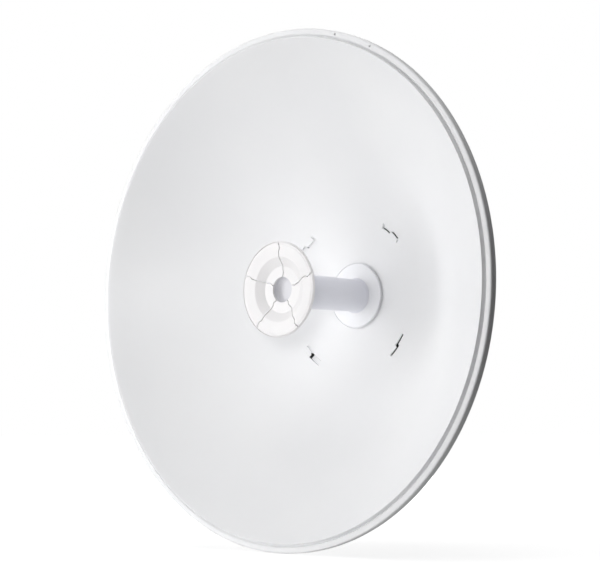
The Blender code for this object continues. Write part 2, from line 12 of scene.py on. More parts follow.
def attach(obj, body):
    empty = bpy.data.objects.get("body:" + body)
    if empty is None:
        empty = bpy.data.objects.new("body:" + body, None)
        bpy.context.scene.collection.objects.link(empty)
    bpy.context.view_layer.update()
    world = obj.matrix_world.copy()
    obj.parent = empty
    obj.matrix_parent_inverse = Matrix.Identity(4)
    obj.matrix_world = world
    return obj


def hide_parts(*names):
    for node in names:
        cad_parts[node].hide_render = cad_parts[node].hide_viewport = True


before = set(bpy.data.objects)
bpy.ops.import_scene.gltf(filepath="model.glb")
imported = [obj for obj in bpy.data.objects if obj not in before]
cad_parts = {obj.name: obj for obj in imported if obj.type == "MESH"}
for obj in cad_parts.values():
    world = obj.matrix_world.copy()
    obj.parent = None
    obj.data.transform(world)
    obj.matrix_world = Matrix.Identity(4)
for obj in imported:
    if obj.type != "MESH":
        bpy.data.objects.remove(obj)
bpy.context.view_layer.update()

# Reflector, in dish coordinates, as in the CAD model
LIP_TO_POLE_FACE = 0.290
RIM_RADIUS = 0.325
LIP_RADIUS = 0.3136
FOCAL_LENGTH = 0.1568
SHEET = 0.0015
SHOULDER_RADIUS = 0.3177
FLANGE_Z = -0.0029
BEAD_Z = -0.0062
SKIRT_Z = -0.0119
HUB_HOLE_RADIUS = 0.0400
DRAIN_RADIUS = 0.0015
DRAIN_CIRCLE_RADIUS = 0.3208
DRAIN_ANGLES_DEG = (73.0, 62.3)

# Twist-lock marks: one pocket raised before the slit, one sunk behind it
LOCK_COUNT = 4
LOCK_SLIT_DEG = 48.5
SLIT_HALF_DEG = 0.42
RAISED_DEG = 9.0
SUNK_DEG = 9.8
LOCK_INNER_RADIUS = 0.0990
LOCK_OUTER_RADIUS = 0.1060
POCKET_DEPTH = 0.0026
POCKET_WALL = 0.0007
WALL_CUT = 0.00065
CUT_END_DEG = 0.75
NOTCH_DEG = 1.6
NOTCH_WIDTH = 0.0024

# Feed
DISC_RADIUS = 0.0597
DISC_FRONT_Z = -0.0012
DISC_RIM_DEPTH = 0.0026
DISC_SHEET = 0.0022
GROOVE_INNER_RADIUS = 0.0582
GROOVE_OUTER_RADIUS = 0.0594
GROOVE_Z = -0.0033
FACE_OUTER_RADIUS = 0.0556
FACE_OUTER_Z = -0.0008
CONE_OUTER_RADIUS = 0.0405
CONE_OUTER_Z = -0.0024
CONE_INNER_RADIUS = 0.0293
RING_Z = -0.0092
HUB_RADIUS = 0.0160
HUB_FLOOR_Z = -0.0182
PETAL_COUNT = 5
PETAL_SEAM_DEG = 90.0
RIB_SHARE = 0.024
RIB_DEPTH = 0.0030
RIB_RADII = (0.0315, 0.0328, 0.0570, 0.0577)
SEAM_GAP = 0.0013
SEAM_END_RADII = (0.0549, 0.0554, 0.0569, 0.0574)
SEAM_END_GAP = 0.0023
TUBE_BASE_RADIUS = 0.0208
TUBE_TOP_RADIUS = 0.0222
TUBE_WALL = 0.0025
BASE_RADIUS = 0.0428
BASE_FRONT_Z = -0.1498
BASE_BACK_Z = -0.1535
SOCKET_RADIUS = 0.0345
SOCKET_END_Z = -0.1850
NECK_FRONT_Z = -0.0117
NECK_BACK_Z = -0.0297

# Rear housing
HOUSING_RADIUS = 0.1180
HOUSING_BACK_RADIUS = 0.0960
HOUSING_BACK_Z = -0.1960
HOUSING_WALL = 0.0030
HOUSING_STEPS = 360

# Bracket, in the row frame
PLATE = 0.0030
CHEEK_OUTER_X = 0.0375
FLANGE_OUTER_X = 0.0341
BRACKET_HALF_HEIGHT = 0.0600
POLE_PLATE_HALF_WIDTH = 0.0590
TILT_BACK_Y = -0.0932
PIVOT_Y = -0.0420
PIVOT_Z = 0.0330
TILT_RADIUS = 0.0640
TILT_Z = PIVOT_Z - TILT_RADIUS
TILT_SLOT_HALF_DEG = 20.0
BOLT_RADIUS = 0.0040
HOLE_RADIUS = 0.0046
HEX_HALF_WIDTH = 0.0065
NUT_HEIGHT = 0.0065
THREAD_PITCH = 0.00125
THREAD_DEPTH = 0.0006
CLAMP_BOLT_X = 0.0480
CLAMP_BOLT_Z = 0.0430
POLE_RADIUS = 0.0240
JAW_HALF_ANGLE_DEG = 55.0
JAW_SHEET = 0.0040
JAW_HALF_HEIGHT = 0.0150
JAW_CORNER_X = 0.0340
TOUCH_GAP = 0.0003


def rounded(points, radii, steps=5, closed=False):
    """Replaces each corner of a line of 2D points by an arc; a radius of zero keeps the corner."""
    result = []
    count = len(points)
    for index, (point, radius) in enumerate(zip(points, radii)):
        inner = closed or 0 < index < count - 1
        if radius == 0 or not inner:
            result.append(tuple(point))
            continue
        here = Vector(point)
        back = (Vector(points[index - 1]) - here).normalized()
        ahead = (Vector(points[(index + 1) % count]) - here).normalized()
        half = back.angle(ahead) / 2
        centre = here + (back + ahead).normalized() * (radius / math.sin(half))
        start = here + back * (radius / math.tan(half)) - centre
        turn = start.angle_signed(here + ahead * (radius / math.tan(half)) - centre)
        for step in range(steps + 1):
            spoke = start.copy()
            spoke.rotate(Matrix.Rotation(-turn * step / steps, 2))
            result.append(tuple(centre + spoke))
    return result


def arc(centre, radius, start_deg, end_deg, steps):
    angles = np.radians(np.linspace(start_deg, end_deg, steps + 1))
    return [(centre[0] + radius * math.cos(a), centre[1] + radius * math.sin(a)) for a in angles]


def to_row(points):
    """Dish coordinates to the row frame."""
    points = np.asarray(points, float)
    return np.stack((points[..., 0], -LIP_TO_POLE_FACE - points[..., 2], points[..., 1]), axis=-1)


def add_piece(name, data, material, nodes, sharp_deg=40.0):
    """Puts a mesh in the scene as a piece that stands for CAD nodes."""
    data.shade_smooth()
    data.set_sharp_from_angle(angle=math.radians(sharp_deg))
    data.materials.append(material)
    piece = bpy.data.objects.new(name, data)
    bpy.context.scene.collection.objects.link(piece)
    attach(piece, "root")
    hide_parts(*nodes)
    return piece


def mesh_from(name, vertices, faces, closed=True):
    data = bpy.data.meshes.new(name)
    data.from_pydata([tuple(v) for v in vertices], [], [tuple(int(i) for i in f) for f in faces])
    form = bmesh.new()
    form.from_mesh(data)
    bmesh.ops.remove_doubles(form, verts=form.verts, dist=1e-6)
    loose = [vertex for vertex in form.verts if not vertex.link_faces]
    bmesh.ops.delete(form, geom=loose, context="VERTS")
    if closed:
        bmesh.ops.recalc_face_normals(form, faces=form.faces)
    form.to_mesh(data)
    form.free()
    return data


def join_meshes(name, meshes):
    form = bmesh.new()
    for data in meshes:
        form.from_mesh(data)
    joined = bpy.data.meshes.new(name)
    form.to_mesh(joined)
    form.free()
    return joined


def ring_body(name, rings, closed=False):
    """A body through rings of points, an array of (ring, step, 3); closed joins last to first."""
    rings = np.asarray(rings, float)
    count, steps = rings.shape[:2]
    faces = []
    for ring in range(count if closed else count - 1):
        here = ring * steps
        there = (ring + 1) % count * steps
        for step in range(steps):
            after = (step + 1) % steps
            faces.append((here + step, here + after, there + after, there + step))
    return mesh_from(name, rings.reshape(-1, 3), faces)


def profile_rings(profile, steps):
    angles = np.linspace(0, 2 * math.pi, steps, endpoint=False)
    profile = np.asarray(profile, float)
    x = profile[:, :1] * np.cos(angles)
    y = profile[:, :1] * np.sin(angles)
    z = np.repeat(profile[:, 1:], steps, axis=1)
    return np.stack((x, y, z), axis=-1)


def turned(name, profile, steps, closed=False):
    """A profile of (radius, z) points turned about the dish's axis, in the row frame."""
    return ring_body(name, to_row(profile_rings(profile, steps)), closed)


def blank(outlines, thickness, bevel=0.0004):
    """A flat plate with rounded edges, as a bmesh. The first outline is its edge, the rest holes."""
    curve = bpy.data.curves.new("blank", "CURVE")
    curve.dimensions = "2D"
    curve.fill_mode = "BOTH"
    curve.extrude = thickness / 2 - bevel
    curve.bevel_depth = bevel
    curve.bevel_resolution = 2
    curve.offset = -bevel
    for outline in outlines:
        spline = curve.splines.new("POLY")
        spline.points.add(len(outline) - 1)
        for point, (x, y) in zip(spline.points, outline):
            point.co = (x, y, 0.0, 1.0)
        spline.use_cyclic_u = True
    holder = bpy.data.objects.new("blank", curve)
    bpy.context.scene.collection.objects.link(holder)
    bpy.context.view_layer.update()
    evaluated = holder.evaluated_get(bpy.context.evaluated_depsgraph_get())
    data = bpy.data.meshes.new_from_object(evaluated)
    bpy.data.objects.remove(holder, do_unlink=True)
    bpy.data.curves.remove(curve)
    form = bmesh.new()
    form.from_mesh(data)
    bpy.data.meshes.remove(data)
    bmesh.ops.remove_doubles(form, verts=form.verts, dist=1e-6)
    bmesh.ops.recalc_face_normals(form, faces=form.faces)
    return form


def plate(name, outlines, thickness, place):
    form = blank(outlines, thickness)
    bmesh.ops.transform(form, matrix=place, verts=form.verts)
    data = bpy.data.meshes.new(name)
    form.to_mesh(data)
    form.free()
    return data


def path_length(path):
    return sum((Vector(b) - Vector(a)).length for a, b in zip(path, path[1:]))


def folded(name, outlines, thickness, path, place):
    """A plate folded along a path of 2D points: its x runs along the path from the middle."""
    form = blank(outlines, thickness)
    points = np.array(path, float)
    legs = np.diff(points, axis=0)
    sizes = np.hypot(legs[:, 0], legs[:, 1])
    marks = np.concatenate(([0.0], np.cumsum(sizes))) - sizes.sum() / 2
    for mark in marks[1:-1]:
        geometry = form.verts[:] + form.edges[:] + form.faces[:]
        bmesh.ops.bisect_plane(
            form, geom=geometry, plane_co=(mark, 0.0, 0.0), plane_no=(1.0, 0.0, 0.0), dist=1e-7)
    across = np.stack((-legs[:, 1], legs[:, 0]), axis=1) / sizes[:, None]
    normals = np.vstack((across[:1], across[:-1] + across[1:], across[-1:]))
    normals /= np.hypot(normals[:, 0], normals[:, 1])[:, None]
    for vertex in form.verts:
        along, height, depth = vertex.co
        x = np.interp(along, marks, points[:, 0]) + np.interp(along, marks, normals[:, 0]) * depth
        y = np.interp(along, marks, points[:, 1]) + np.interp(along, marks, normals[:, 1]) * depth
        vertex.co = (x, y, height)
    bmesh.ops.transform(form, matrix=place, verts=form.verts)
    bmesh.ops.recalc_face_normals(form, faces=form.faces)
    data = bpy.data.meshes.new(name)
    form.to_mesh(data)
    form.free()
    return data


def cut(piece, tool_data, name):
    """Takes a tool's shape out of a piece for good."""
    tool = bpy.data.objects.new(name, tool_data)
    bpy.context.scene.collection.objects.link(tool)
    modifier = piece.modifiers.new(name, "BOOLEAN")
    modifier.operation = "DIFFERENCE"
    modifier.solver = "EXACT"
    modifier.object = tool
    bake(piece)
    bpy.data.objects.remove(tool, do_unlink=True)


def bake(piece, sharp_deg=40.0):
    """Applies a piece's modifiers to its mesh."""
    bpy.context.view_layer.update()
    evaluated = piece.evaluated_get(bpy.context.evaluated_depsgraph_get())
    data = bpy.data.meshes.new_from_object(evaluated)
    data.name = piece.data.name
    piece.modifiers.clear()
    piece.data = data
    data.shade_smooth()
    data.set_sharp_from_angle(angle=math.radians(sharp_deg))


def soften(piece, width, limit_deg=50.0, segments=2):
    """Rounds the sharp edges of a piece."""
    modifier = piece.modifiers.new("soft_edges", "BEVEL")
    modifier.width = width
    modifier.segments = segments
    modifier.limit_method = "ANGLE"
    modifier.angle_limit = math.radians(limit_deg)
    modifier.use_clamp_overlap = True
    modifier.miter_outer = "MITER_ARC"


# Materials

def shader_nodes(name):
    material = bpy.data.materials.new(name)
    material.use_nodes = True
    tree = material.node_tree
    shader = tree.nodes["Principled BSDF"]
    place = tree.nodes.new("ShaderNodeTexCoord")
    return material, tree, shader, place.outputs["Object"]


def noise(tree, place, scale, detail=3.0, roughness=0.5):
    node = tree.nodes.new("ShaderNodeTexNoise")
    node.inputs["Scale"].default_value = scale
    node.inputs["Detail"].default_value = detail
    node.inputs["Roughness"].default_value = roughness
    tree.links.new(place, node.inputs["Vector"])
    return node.outputs["Fac"]


def ramp(tree, value, low, high, from_low=0.35, from_high=0.65):
    """Maps a 0 to 1 value onto a range."""
    node = tree.nodes.new("ShaderNodeMapRange")
    node.inputs["From Min"].default_value = from_low
    node.inputs["From Max"].default_value = from_high
    node.inputs["To Min"].default_value = low
    node.inputs["To Max"].default_value = high
    tree.links.new(value, node.inputs["Value"])
    return node.outputs["Result"]


def tint(tree, value, first, second, from_low=0.35, from_high=0.65):
    """A colour between two, chosen by a 0 to 1 value."""
    node = tree.nodes.new("ShaderNodeMix")
    node.data_type = "RGBA"
    tree.links.new(ramp(tree, value, 0.0, 1.0, from_low, from_high), node.inputs[0])
    node.inputs[6].default_value = (*first, 1.0)
    node.inputs[7].default_value = (*second, 1.0)
    return node.outputs[2]


def bumps(tree, shader, layers):
    """Chains bump nodes; each layer is (height value, distance in metres, strength)."""
    previous = None
    for height, distance, strength in layers:
        node = tree.nodes.new("ShaderNodeBump")
        node.inputs["Distance"].default_value = distance
        node.inputs["Strength"].default_value = strength
        tree.links.new(height, node.inputs["Height"])
        if previous is not None:
            tree.links.new(previous, node.inputs["Normal"])
        previous = node.outputs["Normal"]
    tree.links.new(previous, shader.inputs["Normal"])


def powder_coat(name, light, dark, roughness):
    """Satin paint baked on sheet metal: a fine orange-peel skin with slow changes of gloss."""
    material, tree, shader, place = shader_nodes(name)
    slow = noise(tree, place, 7.0, 4.0)
    fine = noise(tree, place, 420.0, 2.0)
    grain = noise(tree, place, 2200.0, 2.0)
    tree.links.new(tint(tree, slow, light, dark), shader.inputs["Base Color"])
    tree.links.new(ramp(tree, fine, roughness - 0.05, roughness + 0.06), shader.inputs["Roughness"])
    bumps(tree, shader, [(fine, 0.00006, 0.35), (grain, 0.00001, 0.25)])
    shader.inputs["Specular IOR Level"].default_value = 0.4
    return material


def moulded_plastic(name, light, dark, roughness, texture=0.00003):
    """Moulded plastic with a fine spark-eroded texture and faint flow marks."""
    material, tree, shader, place = shader_nodes(name)
    slow = noise(tree, place, 14.0, 3.0)
    flow = noise(tree, place, 60.0, 4.0, 0.6)
    spark = noise(tree, place, 1500.0, 3.0, 0.7)
    tree.links.new(tint(tree, slow, light, dark), shader.inputs["Base Color"])
    tree.links.new(ramp(tree, flow, roughness - 0.06, roughness + 0.06), shader.inputs["Roughness"])
    bumps(tree, shader, [(spark, texture, 0.4), (flow, 0.00008, 0.12)])
    shader.inputs["Specular IOR Level"].default_value = 0.45
    return material


ZINC_SHADES = ((0.43, 0.44, 0.46), (0.62, 0.63, 0.65), (0.50, 0.51, 0.53))


def galvanised(name, tone=1.0):
    """Hot-dip galvanised sheet: overlapping crystals of slightly different grey and gloss."""
    dark, light, dull = [tuple(tone * level for level in shade) for shade in ZINC_SHADES]
    material, tree, shader, place = shader_nodes(name)
    wobble = noise(tree, place, 90.0, 3.0)
    shift = tree.nodes.new("ShaderNodeVectorMath")
    shift.operation = "MULTIPLY_ADD"
    tree.links.new(wobble, shift.inputs[0])
    shift.inputs[1].default_value = (0.006, 0.006, 0.006)
    tree.links.new(place, shift.inputs[2])
    crystals = tree.nodes.new("ShaderNodeTexVoronoi")
    crystals.inputs["Scale"].default_value = 130.0
    tree.links.new(shift.outputs["Vector"], crystals.inputs["Vector"])
    shade = tree.nodes.new("ShaderNodeSeparateColor")
    tree.links.new(crystals.outputs["Color"], shade.inputs["Color"])
    one = shade.outputs["Red"]
    two = shade.outputs["Green"]
    stain = noise(tree, place, 25.0, 5.0, 0.6)
    colour = tint(tree, one, dark, light, 0.0, 1.0)
    dulling = tree.nodes.new("ShaderNodeMix")
    dulling.data_type = "RGBA"
    tree.links.new(ramp(tree, stain, 0.0, 0.45, 0.5, 0.7), dulling.inputs[0])
    tree.links.new(colour, dulling.inputs[6])
    dulling.inputs[7].default_value = (*dull, 1.0)
    tree.links.new(dulling.outputs[2], shader.inputs["Base Color"])
    tree.links.new(ramp(tree, two, 0.36, 0.56, 0.0, 1.0), shader.inputs["Roughness"])
    shader.inputs["Metallic"].default_value = 0.85
    fine = noise(tree, place, 900.0, 3.0)
    bumps(tree, shader, [(one, 0.00002, 0.2), (fine, 0.00002, 0.3)])
    return material


def bright_zinc(name):
    """Bright zinc plating on bolts: nearly mirror smooth, with a faint bluish and yellowish cast."""
    material, tree, shader, place = shader_nodes(name)
    cast = noise(tree, place, 120.0, 3.0)
    wear = noise(tree, place, 650.0, 4.0, 0.65)
    tree.links.new(tint(tree, cast, (0.66, 0.68, 0.72), (0.74, 0.72, 0.66)), shader.inputs["Base Color"])
    tree.links.new(ramp(tree, wear, 0.22, 0.40), shader.inputs["Roughness"])
    shader.inputs["Metallic"].default_value = 0.95
    bumps(tree, shader, [(wear, 0.00002, 0.3)])
    return material


def moulded_rubber(name):
    material, tree, shader, place = shader_nodes(name)
    slow = noise(tree, place, 40.0, 3.0)
    fine = noise(tree, place, 1800.0, 3.0)
    tree.links.new(tint(tree, slow, (0.025, 0.025, 0.026), (0.045, 0.045, 0.047)), shader.inputs["Base Color"])
    tree.links.new(ramp(tree, slow, 0.62, 0.78), shader.inputs["Roughness"])
    bumps(tree, shader, [(fine, 0.00004, 0.4)])
    return material


DISH_PAINT = powder_coat("dish_paint", (0.87, 0.872, 0.88), (0.85, 0.853, 0.865), 0.42)
PETAL_PLASTIC = moulded_plastic("petal_plastic", (0.868, 0.852, 0.858), (0.838, 0.828, 0.833), 0.36)
# A darker, bluer copy of the feed's white plastic: painted shade on the tube and neck, which face away from the
# lights.
TUBE_PLASTIC_PAINTED_SHADE = moulded_plastic("tube_plastic_painted_shade", (0.765, 0.77, 0.825), (0.745, 0.75, 0.81), 0.34)
# A still darker copy of the feed's white plastic: painted shade on the hub cup, deep in the feed's recess.
CUP_PLASTIC_PAINTED_SHADE = moulded_plastic("cup_plastic_painted_shade", (0.72, 0.72, 0.75), (0.70, 0.70, 0.735), 0.40)
BASE_PLASTIC = moulded_plastic("base_plastic", (0.865, 0.87, 0.89), (0.845, 0.85, 0.875), 0.38)
HOUSING_PLASTIC = moulded_plastic("housing_plastic", (0.60, 0.61, 0.63), (0.56, 0.57, 0.59), 0.48, 0.00006)
GALVANISED = galvanised("galvanised_steel")
# A near-black copy of the zinc for the hidden lock plate: painted shade, so that the lock marks' notches and slits
# look dark.
ZINC_DARKENED_AS_PAINTED_SHADE = galvanised("zinc_steel_painted_shade", 0.10)
BRIGHT_ZINC = bright_zinc("bright_zinc")
RUBBER = moulded_rubber("grommet_rubber")


# Reflector

def bowl_z(radius):
    return radius * radius / (4 * FOCAL_LENGTH) - FOCAL_LENGTH


def ease(value):
    value = np.clip(value, 0.0, 1.0)
    return value * value * (3 - 2 * value)


def skin_columns():
    """Angles of the skin's columns with the side of the slit each is on; slits come twice."""
    columns = []
    sector = 360.0 / LOCK_COUNT
    before = [-RAISED_DEG + step for step in (0, 0.13, 0.26, 0.39, 0.52, 0.8, 1.4, 2.8, 4.4, 6.0, 7.5, 8.4)]
    after = [SUNK_DEG - step for step in (9.2, 8.2, 6.6, 4.8, 3.0, 1.4, 0.8, 0.52, 0.39, 0.26, 0.13, 0)]
    for index in range(LOCK_COUNT):
        slit = LOCK_SLIT_DEG + sector * index
        columns += [(slit + offset, -1) for offset in before]
        columns += [(slit - SLIT_HALF_DEG, -1), (slit + SLIT_HALF_DEG, 1)]
        columns += [(slit + offset, 1) for offset in after]
        plain = np.linspace(slit + SUNK_DEG, slit + sector - RAISED_DEG, 50)
        columns += [(angle, 0) for angle in plain[1:-1]]
    return columns


def skin_profile():
    """Front line of the sheet, from the hub hole over the lip and down the skirt."""
    lock = [0.0, 0.0002, 0.00045, 0.00065, 0.0009, 0.0014, 0.0024, 0.0035]
    radii = list(np.linspace(HUB_HOLE_RADIUS, LOCK_INNER_RADIUS, 10))
    radii += [LOCK_INNER_RADIUS + step for step in lock[1:]]
    radii += [LOCK_OUTER_RADIUS - step for step in reversed(lock[:-1])]
    radii += list(np.linspace(LOCK_OUTER_RADIUS, LIP_RADIUS - 0.0016, 26))[1:]
    points = [(radius, bowl_z(radius)) for radius in radii]
    edge = [
        (LIP_RADIUS - 0.0016, bowl_z(LIP_RADIUS - 0.0016)),
        (LIP_RADIUS + 0.0003, 0.0),
        (LIP_RADIUS + 0.0014, BEAD_Z),
        (SHOULDER_RADIUS - 0.0015, BEAD_Z),
        (SHOULDER_RADIUS + 0.0003, FLANGE_Z),
        (RIM_RADIUS, FLANGE_Z),
        (RIM_RADIUS, SKIRT_Z),
    ]
    points += rounded(edge, [0, 0.0005, 0.0006, 0.0006, 0.0004, 0.0020, 0], 5)[1:]
    return points


def pocket_lift(radius, angle_deg, side):
    """How far a lock mark's pocket lifts the sheet at a point, along the sheet's normal."""
    if side == 0:
        return 0.0
    sector = 360.0 / LOCK_COUNT
    from_slit = (angle_deg - LOCK_SLIT_DEG + sector / 2) % sector - sector / 2
    reach = RAISED_DEG if side < 0 else SUNK_DEG
    from_root = math.radians(reach - abs(from_slit)) * radius
    walls = ease((radius - LOCK_INNER_RADIUS) / POCKET_WALL)
    walls *= ease((LOCK_OUTER_RADIUS - radius) / POCKET_WALL)
    return -side * POCKET_DEPTH * walls * ease(from_root / POCKET_WALL)


def is_cut(radius, first, second):
    """Whether a lock mark is open between two columns: at its slit, its notch and its two cut walls."""
    sides = (first[1], second[1])
    if not LOCK_INNER_RADIUS < radius < LOCK_OUTER_RADIUS or 0 in sides:
        return False
    if sides == (-1, 1):
        return True
    sector = 360.0 / LOCK_COUNT
    offsets = [abs((angle - LOCK_SLIT_DEG + sector / 2) % sector - sector / 2) for angle, side in (first, second)]
    from_inner = radius - LOCK_INNER_RADIUS
    from_outer = LOCK_OUTER_RADIUS - radius
    if sides[0] > 0:
        return from_inner < WALL_CUT and max(offsets) < SUNK_DEG - CUT_END_DEG
    if max(offsets) < NOTCH_DEG and from_inner < NOTCH_WIDTH:
        return True
    return from_outer < WALL_CUT and max(offsets) < RAISED_DEG - CUT_END_DEG


def make_reflector():
    profile = skin_profile()
    columns = skin_columns()
    vertices = []
    for angle_deg, side in columns:
        angle = math.radians(angle_deg)
        for radius, height in profile:
            lift = pocket_lift(radius, angle_deg, side)
            slope = radius / (2 * FOCAL_LENGTH)
            length = math.hypot(1.0, slope)
            outward = radius - lift * slope / length
            vertices.append((outward * math.cos(angle), outward * math.sin(angle), height + lift / length))
    rows = len(profile)
    faces = []
    for column in range(len(columns)):
        following = (column + 1) % len(columns)
        for row in range(rows - 1):
            radius = (profile[row][0] + profile[row + 1][0]) / 2
            if is_cut(radius, columns[column], columns[following]):
                continue
            here = column * rows + row
            there = following * rows + row
            faces.append((here, here + 1, there + 1, there))
    data = mesh_from("reflector_skin", to_row(vertices), faces, closed=False)
    skin = add_piece("reflector_skin", data, DISH_PAINT, ["reflector"])
    shell = skin.modifiers.new("sheet", "SOLIDIFY")
    shell.thickness = SHEET
    shell.offset = -1.0
    shell.use_even_offset = True
    shell.use_quality_normals = True
    bake(skin)
    for index, angle_deg in enumerate(DRAIN_ANGLES_DEG):
        angle = math.radians(angle_deg)
        drill = profile_rings([(0, 0.004), (DRAIN_RADIUS, 0.004), (DRAIN_RADIUS, -0.008), (0, -0.008)], 24)
        drill[..., 0] += DRAIN_CIRCLE_RADIUS * math.cos(angle)
        drill[..., 1] += DRAIN_CIRCLE_RADIUS * math.sin(angle)
        name = f"drain_hole_{index + 1}"
        cut(skin, ring_body(name, to_row(drill)), name)
        back = FLANGE_Z - SHEET
        wall = DRAIN_RADIUS + 0.0006
        collar = profile_rings([(DRAIN_RADIUS, back + 0.0001), (DRAIN_RADIUS, back - 0.0036), (wall, back - 0.0036), (wall, back + 0.0001)], 24)
        collar[..., 0] += DRAIN_CIRCLE_RADIUS * math.cos(angle)
        collar[..., 1] += DRAIN_CIRCLE_RADIUS * math.sin(angle)
        name = f"drain_collar_{index + 1}"
        add_piece(name, ring_body(name, to_row(collar), True), DISH_PAINT, ["reflector"])
    soften(skin, 0.0003, 60.0)


# Feed

def make_feed():
    inner = TUBE_TOP_RADIUS - TUBE_WALL
    base = rounded(
        [
            (TUBE_BASE_RADIUS - TUBE_WALL, BASE_BACK_Z),
            (TUBE_BASE_RADIUS - TUBE_WALL, BASE_FRONT_Z),
            (BASE_RADIUS - 0.0015, BASE_FRONT_Z),
            (BASE_RADIUS - 0.0015, BASE_FRONT_Z - 0.0015),
            (BASE_RADIUS - 0.0006, BASE_FRONT_Z - 0.0015),
            (BASE_RADIUS - 0.0004, BASE_FRONT_Z - 0.0001),
            (BASE_RADIUS, BASE_FRONT_Z - 0.0005),
            (BASE_RADIUS - 0.0017, BASE_BACK_Z),
            (SOCKET_RADIUS, BASE_BACK_Z),
            (SOCKET_RADIUS, SOCKET_END_Z),
            (SOCKET_RADIUS - TUBE_WALL, SOCKET_END_Z),
            (SOCKET_RADIUS - TUBE_WALL, BASE_BACK_Z),
        ],
        [0, 0, 0.0001, 0.0001, 0.0001, 0.0001, 0.0001, 0.0003, 0.0003, 0.0006, 0.0006, 0.0005],
        4,
        closed=True,
    )
    add_piece("feed_base_disc", turned("feed_base_disc", base, 160, True), BASE_PLASTIC, ["feed_base"])

    foot = BASE_FRONT_Z + TOUCH_GAP
    top = NECK_BACK_Z - TOUCH_GAP
    tube = rounded(
        [
            (TUBE_BASE_RADIUS - TUBE_WALL, foot),
            (TUBE_BASE_RADIUS + 0.0022, foot),
            (TUBE_BASE_RADIUS, foot + 0.0030),
            (TUBE_TOP_RADIUS, top),
            (inner, top),
        ],
        [0, 0.0002, 0.0016, 0.0004, 0],
        5,
    )
    stretch = np.linspace(0.1, 0.9, 9)
    start, end = tube[-8], tube[-7]
    tube[-7:-7] = [tuple(Vector(start).lerp(Vector(end), share)) for share in stretch]
    # The tube wears the darker copy of the white plastic: painted shade.
    add_piece("feed_tube_skin", turned("feed_tube_skin", tube, 160, True), TUBE_PLASTIC_PAINTED_SHADE, ["feed_tube"])

    neck = rounded(
        [
            (inner, NECK_BACK_Z),
            (TUBE_TOP_RADIUS, NECK_BACK_Z),
            (TUBE_TOP_RADIUS, NECK_BACK_Z + 0.0055),
            (CONE_INNER_RADIUS - 0.0030, NECK_FRONT_Z - 0.0065),
            (CONE_INNER_RADIUS, NECK_FRONT_Z - 0.0022),
            (CONE_INNER_RADIUS, NECK_FRONT_Z),
            (inner, NECK_FRONT_Z),
        ],
        [0, 0.0004, 0.006, 0.004, 0.0012, 0.0003, 0],
        6,
        closed=True,
    )
    # The neck wears the same darker copy: painted shade.
    add_piece("feed_neck_flare", turned("feed_neck_flare", neck, 160, True), TUBE_PLASTIC_PAINTED_SHADE, ["feed_neck"])

    cup_radius = inner - TOUCH_GAP
    cup_front = NECK_FRONT_Z - TOUCH_GAP
    cup = rounded(
        [
            (0.0, HUB_FLOOR_Z),
            (HUB_RADIUS, HUB_FLOOR_Z),
            (HUB_RADIUS, cup_front),
            (cup_radius, cup_front),
            (cup_radius, HUB_FLOOR_Z - 0.0020),
            (0.0, HUB_FLOOR_Z - 0.0020),
        ],
        [0, 0.0050, 0.0004, 0.0004, 0.0004, 0],
        6,
    )
    # The hub cup wears the darkest copy of the white plastic: painted shade.
    add_piece("hub_cup_shell", turned("hub_cup_shell", cup, 96), CUP_PLASTIC_PAINTED_SHADE, ["hub_cup"])


SEAM_LINE = (
    (0.0150, -0.0008),
    (0.0180, -0.0008),
    (0.0212, -0.0026),
    (0.0236, -0.0014),
    (0.0300, -0.0012),
    (0.0420, -0.0007),
    (0.0478, -0.0006),
    (0.0506, -0.0030),
    (0.0538, -0.0024),
    (0.0578, -0.0009),
    (0.0610, -0.0002),
)


def along_line(points, radii, steps, marks):
    """A rounded section line with extra points wherever it crosses one of the given radii."""
    line = rounded(points, radii, steps)
    filled = [line[0]]
    for start, end in zip(line, line[1:]):
        low, high = sorted((start[0], end[0]))
        inside = [mark for mark in marks if low + 2e-4 < mark < high - 2e-4]
        if start[0] > end[0]:
            inside.reverse()
        for mark in inside:
            share = (mark - start[0]) / (end[0] - start[0])
            filled.append((mark, start[1] + (end[1] - start[1]) * share))
        filled.append(end)
    return filled


